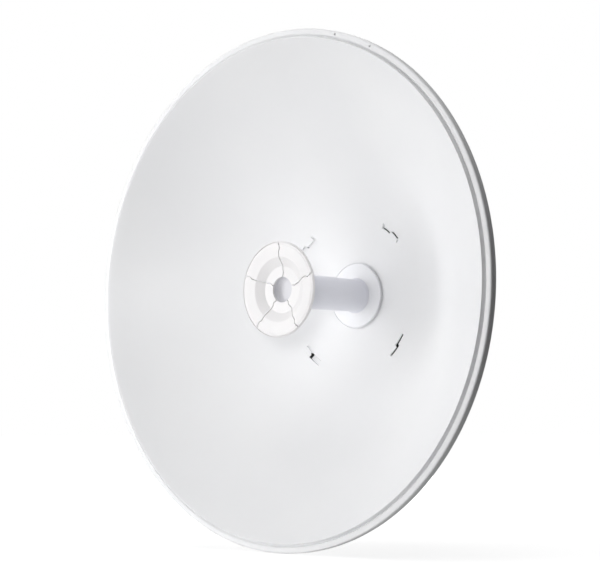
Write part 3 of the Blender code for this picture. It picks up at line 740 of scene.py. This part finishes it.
def make_petals():
    marks = [radius for radius, offset in SEAM_LINE]
    marks += [0.0195, 0.0224, 0.0490, 0.0522, *SEAM_END_RADII]
    marks += list(RIB_RADII)
    marks = sorted(set(marks))
    front = along_line(
        [
            (HUB_RADIUS, RING_Z),
            (CONE_INNER_RADIUS, RING_Z),
            (CONE_OUTER_RADIUS, CONE_OUTER_Z),
            (FACE_OUTER_RADIUS, FACE_OUTER_Z),
            (FACE_OUTER_RADIUS + 0.0004, DISC_FRONT_Z),
            (GROOVE_INNER_RADIUS, DISC_FRONT_Z),
            (GROOVE_INNER_RADIUS, GROOVE_Z),
            (GROOVE_OUTER_RADIUS, GROOVE_Z),
            (GROOVE_OUTER_RADIUS, DISC_FRONT_Z),
            (DISC_RADIUS, DISC_FRONT_Z),
            (DISC_RADIUS, DISC_FRONT_Z - DISC_RIM_DEPTH),
        ],
        [0, 0.0016, 0.0020, 0.0002, 0.0002, 0.0002, 0.0002, 0.0002, 0.0001, 0.0002, 0],
        3,
        marks,
    )
    back_line = [
        (HUB_RADIUS, RING_Z - DISC_SHEET),
        (CONE_INNER_RADIUS + 0.0007, RING_Z - DISC_SHEET),
        (CONE_OUTER_RADIUS + 0.0007, CONE_OUTER_Z - DISC_SHEET),
        (DISC_RADIUS, DISC_FRONT_Z - DISC_RIM_DEPTH),
    ]
    back = [
        (radius, float(np.interp(radius, [p[0] for p in back_line], [p[1] for p in back_line])))
        for radius, height in front
    ]
    seam_radii = [radius for radius, offset in SEAM_LINE]
    seam_offsets = [offset for radius, offset in SEAM_LINE]
    gaps = (SEAM_GAP, SEAM_END_GAP, SEAM_END_GAP, SEAM_GAP)
    shares = [0.0, RIB_SHARE, RIB_SHARE + 0.001]
    shares += list(np.linspace(0.0, 1.0, 29)[2:-2])
    shares += [0.999 - RIB_SHARE, 1.0 - RIB_SHARE, 1.0]
    steps = len(shares) - 1
    for index in range(PETAL_COUNT):
        first = math.radians(PETAL_SEAM_DEG + 360.0 / PETAL_COUNT * index)
        sweep = 2 * math.pi / PETAL_COUNT
        vertices = []
        for share in shares:
            ribbed = min(share, 1.0 - share) < RIB_SHARE + 0.0005
            for point, (radius, height) in enumerate(front + back):
                if ribbed and point >= len(front):
                    height -= float(np.interp(radius, RIB_RADII, (0.0, RIB_DEPTH, RIB_DEPTH, 0.0)))
                offset = np.interp(radius, seam_radii, seam_offsets)
                gap = np.interp(radius, SEAM_END_RADII, gaps)
                shift = offset + gap * (0.5 - share)
                angle = first + sweep * share + shift / radius
                vertices.append((radius * math.cos(angle), radius * math.sin(angle), height))
        size = len(front)
        faces = []
        for step in range(steps):
            here = step * 2 * size
            there = here + 2 * size
            for point in range(size - 1):
                faces.append((here + point, here + point + 1, there + point + 1, there + point))
                faces.append((here + size + point, there + size + point, there + size + point + 1, here + size + point + 1))
            faces.append((here, there, there + size, here + size))
        for start in (0, steps * 2 * size):
            for point in range(size - 1):
                faces.append((start + point, start + point + 1, start + size + point + 1, start + size + point))
        data = mesh_from(f"petal_{index + 1}", to_row(vertices), faces)
        petal = add_piece(f"petal_{index + 1}", data, PETAL_PLASTIC, [f"disc_petal_{index + 1}"])
        soften(petal, 0.00015, 60.0)


# Rear housing

def make_housing():
    front_z = bowl_z(HOUSING_RADIUS) - SHEET - 0.0008
    back_z = HOUSING_BACK_Z
    wall = HOUSING_WALL
    outside = rounded(
        [
            (HOUSING_RADIUS - wall, front_z - 0.0009),
            (HOUSING_RADIUS, front_z),
            (HOUSING_RADIUS, back_z + 0.026),
            (HOUSING_RADIUS - 0.0030, back_z + 0.014),
            (HOUSING_RADIUS - 0.0110, back_z + 0.004),
            (HOUSING_BACK_RADIUS, back_z),
            (0.0820, back_z),
            (0.0820, back_z + 0.0008),
            (0.0780, back_z + 0.0008),
            (0.0780, back_z),
            (0.0300, back_z),
            (0.0300, back_z + wall),
        ],
        [0.0004, 0.0006, 0.012, 0.012, 0.010, 0.010, 0.0003, 0.0003, 0.0003, 0.0003, 0.0008, 0],
        6,
    )
    inside = [
        (HOUSING_BACK_RADIUS - 0.001, back_z + wall),
        (HOUSING_RADIUS - 0.0132, back_z + 0.0065),
        (HOUSING_RADIUS - 0.0058, back_z + 0.0150),
        (HOUSING_RADIUS - wall, back_z + 0.0265),
    ]
    profile = dense(outside, 0.0028) + inside
    rings = profile_rings(profile, HOUSING_STEPS)
    angles = np.degrees(np.linspace(0, 2 * math.pi, HOUSING_STEPS, endpoint=False))
    from_inlet = np.abs((angles + 90.0 + 180.0) % 360.0 - 180.0)
    clear_of_inlet = ease((from_inlet - 11.0) / 2.0)
    waves = 0.5 - 0.5 * np.cos(np.radians(angles * 60.0))
    for ring, (radius, height) in zip(rings, profile):
        on_side = radius > HOUSING_RADIUS - 0.0008
        band = ease((height - (back_z + 0.022)) / 0.002) * ease((-0.1560 + 0.0 - height) / 0.002)
        if on_side:
            scale = 1.0 - 0.0007 * waves ** 2 * band * clear_of_inlet / radius
            ring[:, 0] *= scale
            ring[:, 1] *= scale
    data = ring_body("housing_shell", to_row(rings), True)
    housing = add_piece("housing_shell", data, HOUSING_PLASTIC, ["rear_housing"])
    notch = plate(
        "inlet_notch",
        [rounded([(-0.015, -0.009), (0.015, -0.009), (0.015, 0.009), (-0.015, 0.009)], [0.002] * 4, 4, True)],
        0.016,
        Matrix.Translation((0.0, -LIP_TO_POLE_FACE - back_z - 0.039, -HOUSING_RADIUS)),
    )
    cut(housing, notch, "inlet_notch")

    cap = rounded(
        [
            (0.0, back_z + 0.0005),
            (0.0297, back_z + 0.0005),
            (0.0297, back_z - 0.0016),
            (0.0265, back_z - 0.0030),
            (0.0180, back_z - 0.0030),
            (0.0165, back_z - 0.0022),
            (0.0, back_z - 0.0022),
        ],
        [0, 0.0004, 0.0010, 0.0008, 0.0006, 0.0006, 0],
        4,
    )
    data = turned("cap_disc", cap, 128)
    disc = add_piece("cap_disc", data, HOUSING_PLASTIC, ["rear_cap"])
    slot = plate(
        "cap_slot",
        [rounded([(-0.011, -0.0014), (0.011, -0.0014), (0.011, 0.0014), (-0.011, 0.0014)], [0.0013] * 4, 4, True)],
        0.003,
        Matrix(((1, 0, 0, 0), (0, 0, -1, -LIP_TO_POLE_FACE - back_z + 0.0030), (0, 1, 0, 0), (0, 0, 0, 1))),
    )
    cut(disc, slot, "cap_slot")
    make_grommet(back_z + 0.039)


def dense(line, limit):
    """Adds points to a line so that no step is longer than the limit."""
    result = [line[0]]
    for start, end in zip(line, line[1:]):
        length = (Vector(end) - Vector(start)).length
        count = max(1, math.ceil(length / limit))
        for step in range(1, count + 1):
            share = step / count
            result.append((start[0] + (end[0] - start[0]) * share, start[1] + (end[1] - start[1]) * share))
    return result


def make_grommet(middle_z):
    """A rubber block in the housing's inlet, with a round lip and a closed dimple for a cable."""
    def loop(half_width, half_height, corner, level):
        corners = [(-half_width, -half_height), (half_width, -half_height), (half_width, half_height), (-half_width, half_height)]
        outline = rounded(corners, [corner] * 4, 15, True)
        return [(x, level, middle_z + z) for x, z in outline]

    def round_loop(radius, level):
        outline = arc((0.0, 0.0), radius, -157.5 - 45.0, 157.5, 63)[:64]
        angles = np.linspace(-math.pi, math.pi, 65)[:64] + math.pi / 64
        return [(radius * math.cos(a), level, middle_z + radius * math.sin(a)) for a in angles]

    outer = -HOUSING_RADIUS - 0.0025
    inner = -HOUSING_RADIUS + 0.0045
    rings = [
        loop(0.0010, 0.0010, 0.0009, inner),
        loop(0.0147, 0.0087, 0.0020, inner),
        loop(0.0147, 0.0087, 0.0020, outer + 0.0022),
        loop(0.0144, 0.0084, 0.0020, outer + 0.0016),
        loop(0.0136, 0.0076, 0.0020, outer + 0.0012),
        round_loop(0.0066, outer + 0.0010),
        round_loop(0.0063, outer + 0.0002),
        round_loop(0.0059, outer),
        round_loop(0.0046, outer),
        round_loop(0.0042, outer + 0.0003),
        round_loop(0.0036, outer + 0.0026),
        round_loop(0.0012, outer + 0.0030),
        round_loop(0.0, outer + 0.0031),
    ]
    data = ring_body("grommet_block", to_row(rings))
    add_piece("grommet_block", data, RUBBER, ["cable_grommet"])


# Brackets

TO_WALL = Matrix(((1, 0, 0, 0), (0, 0, -1, 0), (0, 1, 0, 0), (0, 0, 0, 1)))
TO_SIDE = Matrix(((0, 0, 1, 0), (1, 0, 0, 0), (0, 1, 0, 0), (0, 0, 0, 1)))
UPRIGHT = Matrix.Identity(4)


def hole(x, y, radius=HOLE_RADIUS, steps=32):
    return arc((x, y), radius, 0.0, 360.0, steps)[:-1]


def arc_slot(centre, radius, half_width, start_deg, end_deg):
    """A slot of constant width along an arc, with round ends."""
    start = arc(centre, radius, start_deg, start_deg, 1)[0]
    end = arc(centre, radius, end_deg, end_deg, 1)[0]
    outline = arc(centre, radius + half_width, start_deg, end_deg, 14)
    outline += arc(end, half_width, end_deg, end_deg + 180.0, 8)[1:-1]
    outline += arc(centre, radius - half_width, end_deg, start_deg, 14)
    outline += arc(start, half_width, start_deg + 180.0, start_deg + 360.0, 8)[1:-1]
    return outline


def mirrored(outline):
    return [(-x, y) for x, y in outline]


def make_tilt_bracket():
    centre_x = CHEEK_OUTER_X - PLATE / 2
    centre_y = TILT_BACK_Y + PLATE / 2
    end_y = PIVOT_Y + 0.0230
    corners = [(-centre_x, end_y), (-centre_x, centre_y), (centre_x, centre_y), (centre_x, end_y)]
    path = rounded(corners, [0, 0.0040, 0.0040, 0], 8)
    half_length = path_length(path) / 2

    def along(y):
        return half_length - (end_y - y)

    half = BRACKET_HALF_HEIGHT - 0.004
    pivot = (along(PIVOT_Y), PIVOT_Z)
    right = arc((along(PIVOT_Y + 0.004), TILT_Z - 0.004), 0.019, -90.0, 20.0, 16)
    right += arc(pivot, 0.013, -20.0, 90.0, 14)
    right += [(along(TILT_BACK_Y + 0.012), half)]
    left = mirrored(right)
    left.reverse()
    bottom = [(-along(TILT_BACK_Y + 0.012), -half), (along(TILT_BACK_Y + 0.012), -half)]
    outlines = [right + left + bottom, hole(0.0, 0.0, 0.030, 64)]
    outlines += [hole(x, z) for x in (-0.026, 0.026) for z in (-0.044, 0.044)]
    slot = arc_slot(pivot, TILT_RADIUS, 0.0047, -90.0 - TILT_SLOT_HALF_DEG, -90.0 + TILT_SLOT_HALF_DEG)
    outlines += [hole(*pivot), mirrored(hole(*pivot)), slot, mirrored(slot)]
    data = folded("tilt_bracket_fold", outlines, PLATE, path, UPRIGHT)
    marks = []
    for side in (-1, 1):
        for step in range(-4, 5):
            marks.append(scale_mark(side, -90.0 + step * 5.0, 0.0042 if step % 2 == 0 else 0.0026))
    data = join_meshes("tilt_bracket_fold", [data] + marks)
    add_piece("tilt_bracket_fold", data, GALVANISED, ["tilt_bracket"])


def scale_mark(side, angle_deg, length):
    """One raised line of the angle scale beside the tilt slot."""
    angle = math.radians(angle_deg)
    inner = TILT_RADIUS - 0.0075 - length
    surface = side * (CHEEK_OUTER_X - 0.0001)
    form = bmesh.new()
    bmesh.ops.create_cube(form, size=1.0)
    for vertex in form.verts:
        radius = inner + (vertex.co.y + 0.5) * length
        across = vertex.co.z * 0.0006 * (1.0 if abs(vertex.co.x + 0.5) < 0.1 else 0.5)
        y = PIVOT_Y + radius * math.cos(angle) - across * math.sin(angle)
        z = PIVOT_Z + radius * math.sin(angle) + across * math.cos(angle)
        vertex.co = (surface + side * (vertex.co.x + 0.5) * 0.0003, y, z)
    bmesh.ops.recalc_face_normals(form, faces=form.faces)
    data = bpy.data.meshes.new("scale_mark")
    form.to_mesh(data)
    form.free()
    return data


def weld_bead(x, side, y, low, high):
    """A rippled fillet of weld in the corner between a flange and the pole plate."""
    levels = np.arange(low, high, 0.00045)
    rings = []
    for level in levels:
        taper = min(1.0, (level - low) / 0.002, (high - level) / 0.002)
        size = (0.0023 + 0.00022 * abs(math.sin(level / 0.0019 * math.pi))) * max(0.15, taper) ** 0.5
        curve = [(side * size * math.cos(a) ** 0.8, -size * math.sin(a) ** 0.8) for a in np.linspace(0.02, math.pi / 2 - 0.02, 7)]
        curve = [(side * size, 0.0004)] + curve + [(-side * 0.0004, -size), (-side * 0.0004, 0.0004)]
        rings.append([(x + dx, y + dy, level) for dx, dy in curve])
    rings = [[tuple(np.mean(rings[0], axis=0))] * len(rings[0])] + rings
    rings += [[tuple(np.mean(rings[-1], axis=0))] * len(rings[-1])]
    return ring_body("weld", rings)


def make_pole_bracket():
    width, height = POLE_PLATE_HALF_WIDTH, BRACKET_HALF_HEIGHT
    edge = rounded([(-width, -height), (width, -height), (width, height), (-width, height)], [0.006] * 4, 8, True)
    outlines = [edge] + [hole(x, z) for x, z in clamp_places()]
    outlines += [hole(0.0, z, 0.0055) for z in (-0.045, 0.045)]
    meshes = [plate("pole_plate", outlines, PLATE, Matrix.Translation((0, -PLATE / 2, 0)) @ TO_WALL)]
    front = PIVOT_Y - 0.0125
    flange = [(-PLATE / 2, -height + 0.006), (-PLATE / 2, height - 0.006)]
    flange += arc((front + 0.0125, PIVOT_Z), 0.0125, 90.0, 180.0, 14)
    flange += arc((front + 0.0125, TILT_Z), 0.0125, 180.0, 270.0, 14)
    holes = [hole(PIVOT_Y, PIVOT_Z), hole(PIVOT_Y, TILT_Z)]
    for side in (-1, 1):
        x = side * (FLANGE_OUTER_X - PLATE / 2)
        meshes.append(plate("pole_flange", [flange] + holes, PLATE, Matrix.Translation((x, 0, 0)) @ TO_SIDE))
        meshes.append(weld_bead(side * FLANGE_OUTER_X, side, -PLATE, -height + 0.008, height - 0.008))
    data = join_meshes("pole_bracket_weldment", meshes)
    add_piece("pole_bracket_weldment", data, GALVANISED, ["pole_bracket"])


def clamp_places():
    return [(x, z) for z in (CLAMP_BOLT_Z, -CLAMP_BOLT_Z) for x in (-CLAMP_BOLT_X, CLAMP_BOLT_X)]


def jaw_levels():
    half_angle = math.radians(JAW_HALF_ANGLE_DEG)
    apex_y = POLE_RADIUS + POLE_RADIUS / math.sin(half_angle)
    return apex_y, apex_y - JAW_CORNER_X / math.tan(half_angle)


def make_jaws():
    apex_y, ear_y = jaw_levels()
    half_angle = math.radians(JAW_HALF_ANGLE_DEG)
    slant = JAW_SHEET / math.sin(half_angle)
    bend = JAW_SHEET * math.tan((math.pi / 2 - half_angle) / 2)
    ear = ear_y + JAW_SHEET / 2
    width = POLE_PLATE_HALF_WIDTH
    corner = JAW_CORNER_X - bend / 2
    path = rounded(
        [(-width, ear), (-corner, ear), (0.0, apex_y + slant / 2), (corner, ear), (width, ear)],
        [0, 0.0045, 0.0045, 0.0045, 0],
        8,
    )
    half_length = path_length(path) / 2
    half = JAW_HALF_HEIGHT
    outline = rounded(
        [(-half_length, -half), (half_length, -half), (half_length, half), (-half_length, half)],
        [0.004] * 4, 8, True)
    outlines = [outline] + [hole(side * (half_length - width + CLAMP_BOLT_X), 0.0) for side in (-1, 1)]
    for name, z in (("upper", CLAMP_BOLT_Z), ("lower", -CLAMP_BOLT_Z)):
        data = folded(f"jaw_{name}_fold", outlines, JAW_SHEET, path, Matrix.Translation((0, 0, z)))
        add_piece(f"jaw_{name}_fold", data, GALVANISED, [f"jaw_{name}"])


# Bolts and nuts

def hex_radius(angles):
    corner = math.pi / 3
    return HEX_HALF_WIDTH / np.cos((angles + corner / 2) % corner - corner / 2)


def level_ring(radius, height, angles):
    radius = np.broadcast_to(radius, angles.shape)
    height = np.broadcast_to(height, angles.shape)
    return np.stack((radius * np.cos(angles), radius * np.sin(angles), height), axis=-1)


def thread_rings(top, bottom, angles):
    """Rings of a screw thread from one height down to another, with its end tapered."""
    rings = []
    count = int(round((top - bottom) / THREAD_PITCH * 6))
    for step in range(count + 1):
        height = top - (top - bottom) * step / count
        turn = (height / THREAD_PITCH - angles / (2 * math.pi)) % 1.0
        groove = np.clip(1.25 - np.abs(turn - 0.5) * 3.0, 0.0, 1.0)
        radius = BOLT_RADIUS - THREAD_DEPTH * groove
        near_end = (height - bottom) / 0.0008
        radius = np.minimum(radius, BOLT_RADIUS - 0.0009 * (1.0 - min(1.0, near_end)))
        start = min(1.0, (top - height) / THREAD_PITCH)
        rings.append(level_ring(BOLT_RADIUS - (BOLT_RADIUS - radius) * max(start, 1.0 - min(1.0, near_end)), height, angles))
    return rings


def along_axis(seat, direction):
    """Puts a body drawn upward from z = 0 at a seat, with its z along a direction."""
    turn = Vector(direction).to_track_quat("Z", "Y").to_matrix().to_4x4()
    return Matrix.Translation(seat) @ turn


def placed(data, seat, direction):
    data.transform(along_axis(seat, direction))
    return data


HEX_STEPS = 72
HEX_ANGLES = np.linspace(0, 2 * math.pi, HEX_STEPS, endpoint=False)
CHAMFER_START = HEX_HALF_WIDTH * 0.96


def hex_top(height):
    """The rings over a chamfered hexagon, from its sides to its flat top."""
    corners = hex_radius(HEX_ANGLES)
    drop = (corners - CHAMFER_START) * math.tan(math.radians(30.0))
    return [
        level_ring(corners, height - drop - 0.0004, HEX_ANGLES),
        level_ring(corners - 0.00012, height - drop, HEX_ANGLES),
        level_ring(CHAMFER_START, height, HEX_ANGLES),
    ]


def nut_mesh(name):
    corners = hex_radius(HEX_ANGLES)
    bore = BOLT_RADIUS - 0.0001
    rings = [
        level_ring(bore + 0.0006, 0.0, HEX_ANGLES),
        level_ring(0.0082, 0.0, HEX_ANGLES),
        level_ring(0.0086, 0.0003, HEX_ANGLES),
        level_ring(0.0086, 0.0009, HEX_ANGLES),
        level_ring(0.0082, 0.0013, HEX_ANGLES),
        level_ring(np.minimum(corners + 0.0006, 0.0080), 0.0015, HEX_ANGLES),
        level_ring(corners, 0.0020, HEX_ANGLES),
    ]
    rings += hex_top(NUT_HEIGHT)
    rings += [
        level_ring(bore + 0.0006, NUT_HEIGHT, HEX_ANGLES),
        level_ring(bore, NUT_HEIGHT - 0.0006, HEX_ANGLES),
        level_ring(bore, 0.0006, HEX_ANGLES),
    ]
    return ring_body(name, rings, True)


def add_nut(node, seat, direction):
    data = placed(nut_mesh(node + "_flanged"), seat, direction)
    add_piece(node + "_flanged", data, BRIGHT_ZINC, [node], 32.0)


def add_hex_bolt(node, seat, direction, head_height, shaft_length, thread_length):
    corners = hex_radius(HEX_ANGLES)
    rings = [level_ring(0.0, head_height - 0.0003, HEX_ANGLES)]
    rings += [level_ring(CHAMFER_START * 0.78, head_height - 0.0003, HEX_ANGLES)]
    rings += [level_ring(CHAMFER_START * 0.82, head_height, HEX_ANGLES)]
    rings += reversed(hex_top(head_height))
    rings += [
        level_ring(corners, 0.0006, HEX_ANGLES),
        level_ring(corners - 0.0002, 0.0003, HEX_ANGLES),
        level_ring(HEX_HALF_WIDTH * 0.97, 0.0003, HEX_ANGLES),
        level_ring(HEX_HALF_WIDTH * 0.97, 0.0, HEX_ANGLES),
        level_ring(BOLT_RADIUS + 0.0004, 0.0, HEX_ANGLES),
        level_ring(BOLT_RADIUS, -0.0004, HEX_ANGLES),
    ]
    if thread_length > 0:
        rings += thread_rings(-shaft_length + thread_length, -shaft_length, HEX_ANGLES)
    rings += [level_ring(BOLT_RADIUS - 0.0009, -shaft_length, HEX_ANGLES)]
    rings += [level_ring(0.0, -shaft_length, HEX_ANGLES)]
    data = placed(ring_body(node + "_hex", rings), seat, direction)
    add_piece(node + "_hex", data, BRIGHT_ZINC, [node], 32.0)


def add_carriage_bolt(node, x, z, end_y):
    seat_y = -PLATE - TOUCH_GAP
    shaft_length = end_y - seat_y
    angles = np.linspace(0, 2 * math.pi, 48, endpoint=False)
    square = np.minimum(0.0040 / np.cos((angles + math.pi / 4) % (math.pi / 2) - math.pi / 4), 0.0045)
    rings = []
    for share in np.linspace(0.0, 1.0, 12):
        tilt = share * math.radians(62.0)
        radius = 0.0084 * math.sin(tilt) / math.sin(math.radians(62.0))
        height = 0.0004 + 0.0042 * (math.cos(tilt) - math.cos(math.radians(62.0))) / (1 - math.cos(math.radians(62.0)))
        rings.append(level_ring(radius, height, angles))
    rings += [
        level_ring(0.0087, 0.0006, angles),
        level_ring(0.0088, 0.0003, angles),
        level_ring(0.0086, 0.0, angles),
        level_ring(square, 0.0, angles),
        level_ring(square, -PLATE + 0.0005, angles),
        level_ring(BOLT_RADIUS, -PLATE - 0.0002, angles),
    ]
    rings += thread_rings(-PLATE - 0.004, -shaft_length, angles)
    rings += [level_ring(BOLT_RADIUS - 0.0009, -shaft_length, angles), level_ring(0.0, -shaft_length, angles)]
    data = placed(ring_body(node + "_coach", rings), (x, seat_y, z), (0, -1, 0))
    add_piece(node + "_coach", data, BRIGHT_ZINC, [node], 32.0)


def make_fasteners():
    outside = CHEEK_OUTER_X + TOUCH_GAP
    for name, z in (("pivot", PIVOT_Z), ("tilt", TILT_Z)):
        length = 2 * outside + 0.012
        add_hex_bolt(f"{name}_bolt", (-outside, PIVOT_Y, z), (-1, 0, 0), 0.0055, length, 0.030)
        add_nut(f"{name}_nut", (outside, PIVOT_Y, z), (1, 0, 0))
    wall_y = TILT_BACK_Y + PLATE + TOUCH_GAP
    places = [(x, z) for x in (-0.026, 0.026) for z in (-0.044, 0.044)]
    for index, (x, z) in enumerate(places):
        add_hex_bolt(f"housing_bolt_{index + 1}", (x, wall_y, z), (0, 1, 0), 0.0055, 0.0025, 0.0)
    apex_y, ear_y = jaw_levels()
    jaw_back = ear_y + JAW_SHEET
    for index, (x, z) in enumerate(clamp_places()):
        add_carriage_bolt(f"clamp_bolt_{index + 1}", x, z, jaw_back + 0.026)
        add_nut(f"clamp_nut_{index + 1}", (x, jaw_back + TOUCH_GAP, z), (0, 1, 0))


# Floor, light and camera

def make_floor():
    """A white floor, a little less bright of its own around the object so that shadows show."""
    material, tree, shader, place = shader_nodes("floor_white")
    shade = noise(tree, place, 1.5, 2.0)
    tree.links.new(tint(tree, shade, (0.42, 0.42, 0.42), (0.40, 0.40, 0.40)), shader.inputs["Base Color"])
    distance = tree.nodes.new("ShaderNodeVectorMath")
    distance.operation = "LENGTH"
    tree.links.new(place, distance.inputs[0])
    glow = ramp(tree, distance.outputs["Value"], 0.72, 1.02, 0.3, 1.8)
    tree.links.new(glow, shader.inputs["Emission Strength"])
    shader.inputs["Emission Color"].default_value = (1.0, 1.0, 1.0, 1.0)
    shader.inputs["Roughness"].default_value = 0.9
    shader.inputs["Specular IOR Level"].default_value = 0.0
    data = bpy.data.meshes.new("floor")
    size = 30.0
    data.from_pydata([(-size, -size, 0), (size, -size, 0), (size, size, 0), (-size, size, 0)], [], [(0, 1, 2, 3)])
    data.materials.append(material)
    floor = bpy.data.objects.new("floor", data)
    floor.location = (0.0, 0.0, -RIM_RADIUS - 0.0004)
    bpy.context.scene.collection.objects.link(floor)
    floor.visible_diffuse = False
    floor.visible_glossy = False
    floor.visible_shadow = False


def area_light(name, place, target, size, energy, colour=(1.0, 1.0, 1.0)):
    data = bpy.data.lights.new(name, "AREA")
    data.shape = "RECTANGLE"
    data.size = size[0]
    data.size_y = size[1]
    data.energy = energy
    data.color = colour
    light = bpy.data.objects.new(name, data)
    light.location = place
    aim = Vector(target) - Vector(place)
    light.rotation_euler = aim.to_track_quat("-Z", "Y").to_euler()
    light.visible_camera = False
    bpy.context.scene.collection.objects.link(light)


def spot_light(name, place, target, radius, spread_deg, energy):
    data = bpy.data.lights.new(name, "SPOT")
    data.energy = energy
    data.shadow_soft_size = radius
    data.spot_size = math.radians(spread_deg)
    data.spot_blend = 1.0
    light = bpy.data.objects.new(name, data)
    light.location = place
    aim = Vector(target) - Vector(place)
    light.rotation_euler = aim.to_track_quat("-Z", "Y").to_euler()
    bpy.context.scene.collection.objects.link(light)


def make_light():
    middle = (0.0, -0.25, 0.0)
    area_light("key", (-1.35, -2.9, 0.1), middle, (0.8, 3.2), 10.3)
    area_light("key_far", (-2.2, -2.4, 0.1), middle, (0.8, 3.2), 30.0)
    area_light("side", (-2.9, -0.9, 0.1), middle, (1.0, 3.2), 5.0)
    area_light("front", (-1.0, -3.0, 0.0), middle, (3.0, 4.0), 36.5)
    area_light("high", (-0.6, -2.4, 2.4), middle, (3.0, 2.0), 9.5)
    area_light("low", (-0.6, -2.4, -2.4), middle, (3.0, 2.0), 24.5)
    area_light("top", (0.0, -0.3, 2.6), middle, (3.0, 3.0), 51.0)
    area_light("below", (0.0, -0.3, -2.6), middle, (3.0, 3.0), 24.0)
    spot_light("bowl_fill", (1.5, -2.6, 0.1), (-0.35, -0.2, 0.0), 0.4, 16.0, 182.0)
    area_light("rear", (-0.9, 2.8, 0.6), middle, (2.4, 2.4), 84.0)
    world = bpy.data.worlds.new("studio")
    bpy.context.scene.world = world
    world.use_nodes = True
    tree = world.node_tree
    dim = tree.nodes["Background"]
    dim.inputs["Color"].default_value = (0.95, 0.96, 1.0, 1.0)
    dim.inputs["Strength"].default_value = 0.015
    backdrop = tree.nodes.new("ShaderNodeBackground")
    backdrop.inputs["Color"].default_value = (1.0, 1.0, 1.0, 1.0)
    seen = tree.nodes.new("ShaderNodeLightPath")
    mix = tree.nodes.new("ShaderNodeMixShader")
    tree.links.new(seen.outputs["Is Camera Ray"], mix.inputs["Fac"])
    tree.links.new(dim.outputs["Background"], mix.inputs[1])
    tree.links.new(backdrop.outputs["Background"], mix.inputs[2])
    tree.links.new(mix.outputs["Shader"], tree.nodes["World Output"].inputs["Surface"])


def make_camera():
    """The photograph's viewpoint, fitted to the rim, the feed disc and the drain holes."""
    forward = Vector((-0.67047, 0.73778, 0.07860))
    up = Vector((0.05448, -0.05669, 0.99690))
    right = forward.cross(up)
    data = bpy.data.cameras.new("photo_camera")
    data.sensor_width = 36.0
    data.lens = 106.63
    data.clip_start = 0.05
    data.clip_end = 100.0
    camera = bpy.data.objects.new("photo_camera", data)
    turn = Matrix((right, up, -forward)).transposed().to_4x4()
    camera.matrix_world = Matrix.Translation((1.4983, -1.8966, -0.1724)) @ turn
    bpy.context.scene.collection.objects.link(camera)
    bpy.context.scene.camera = camera


make_camera()
make_reflector()
make_feed()
make_petals()
make_housing()
make_tilt_bracket()
make_pole_bracket()
make_jaws()
make_fasteners()
# The lock plate behind the lock marks is dressed in the near-black zinc: painted shade seen through the notches and
# slits.
plate_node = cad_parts["lock_plate"]
plate_node.data.materials.clear()
plate_node.data.materials.append(ZINC_DARKENED_AS_PAINTED_SHADE)
make_floor()
make_light()
bpy.context.scene.view_settings.view_transform = "Standard"
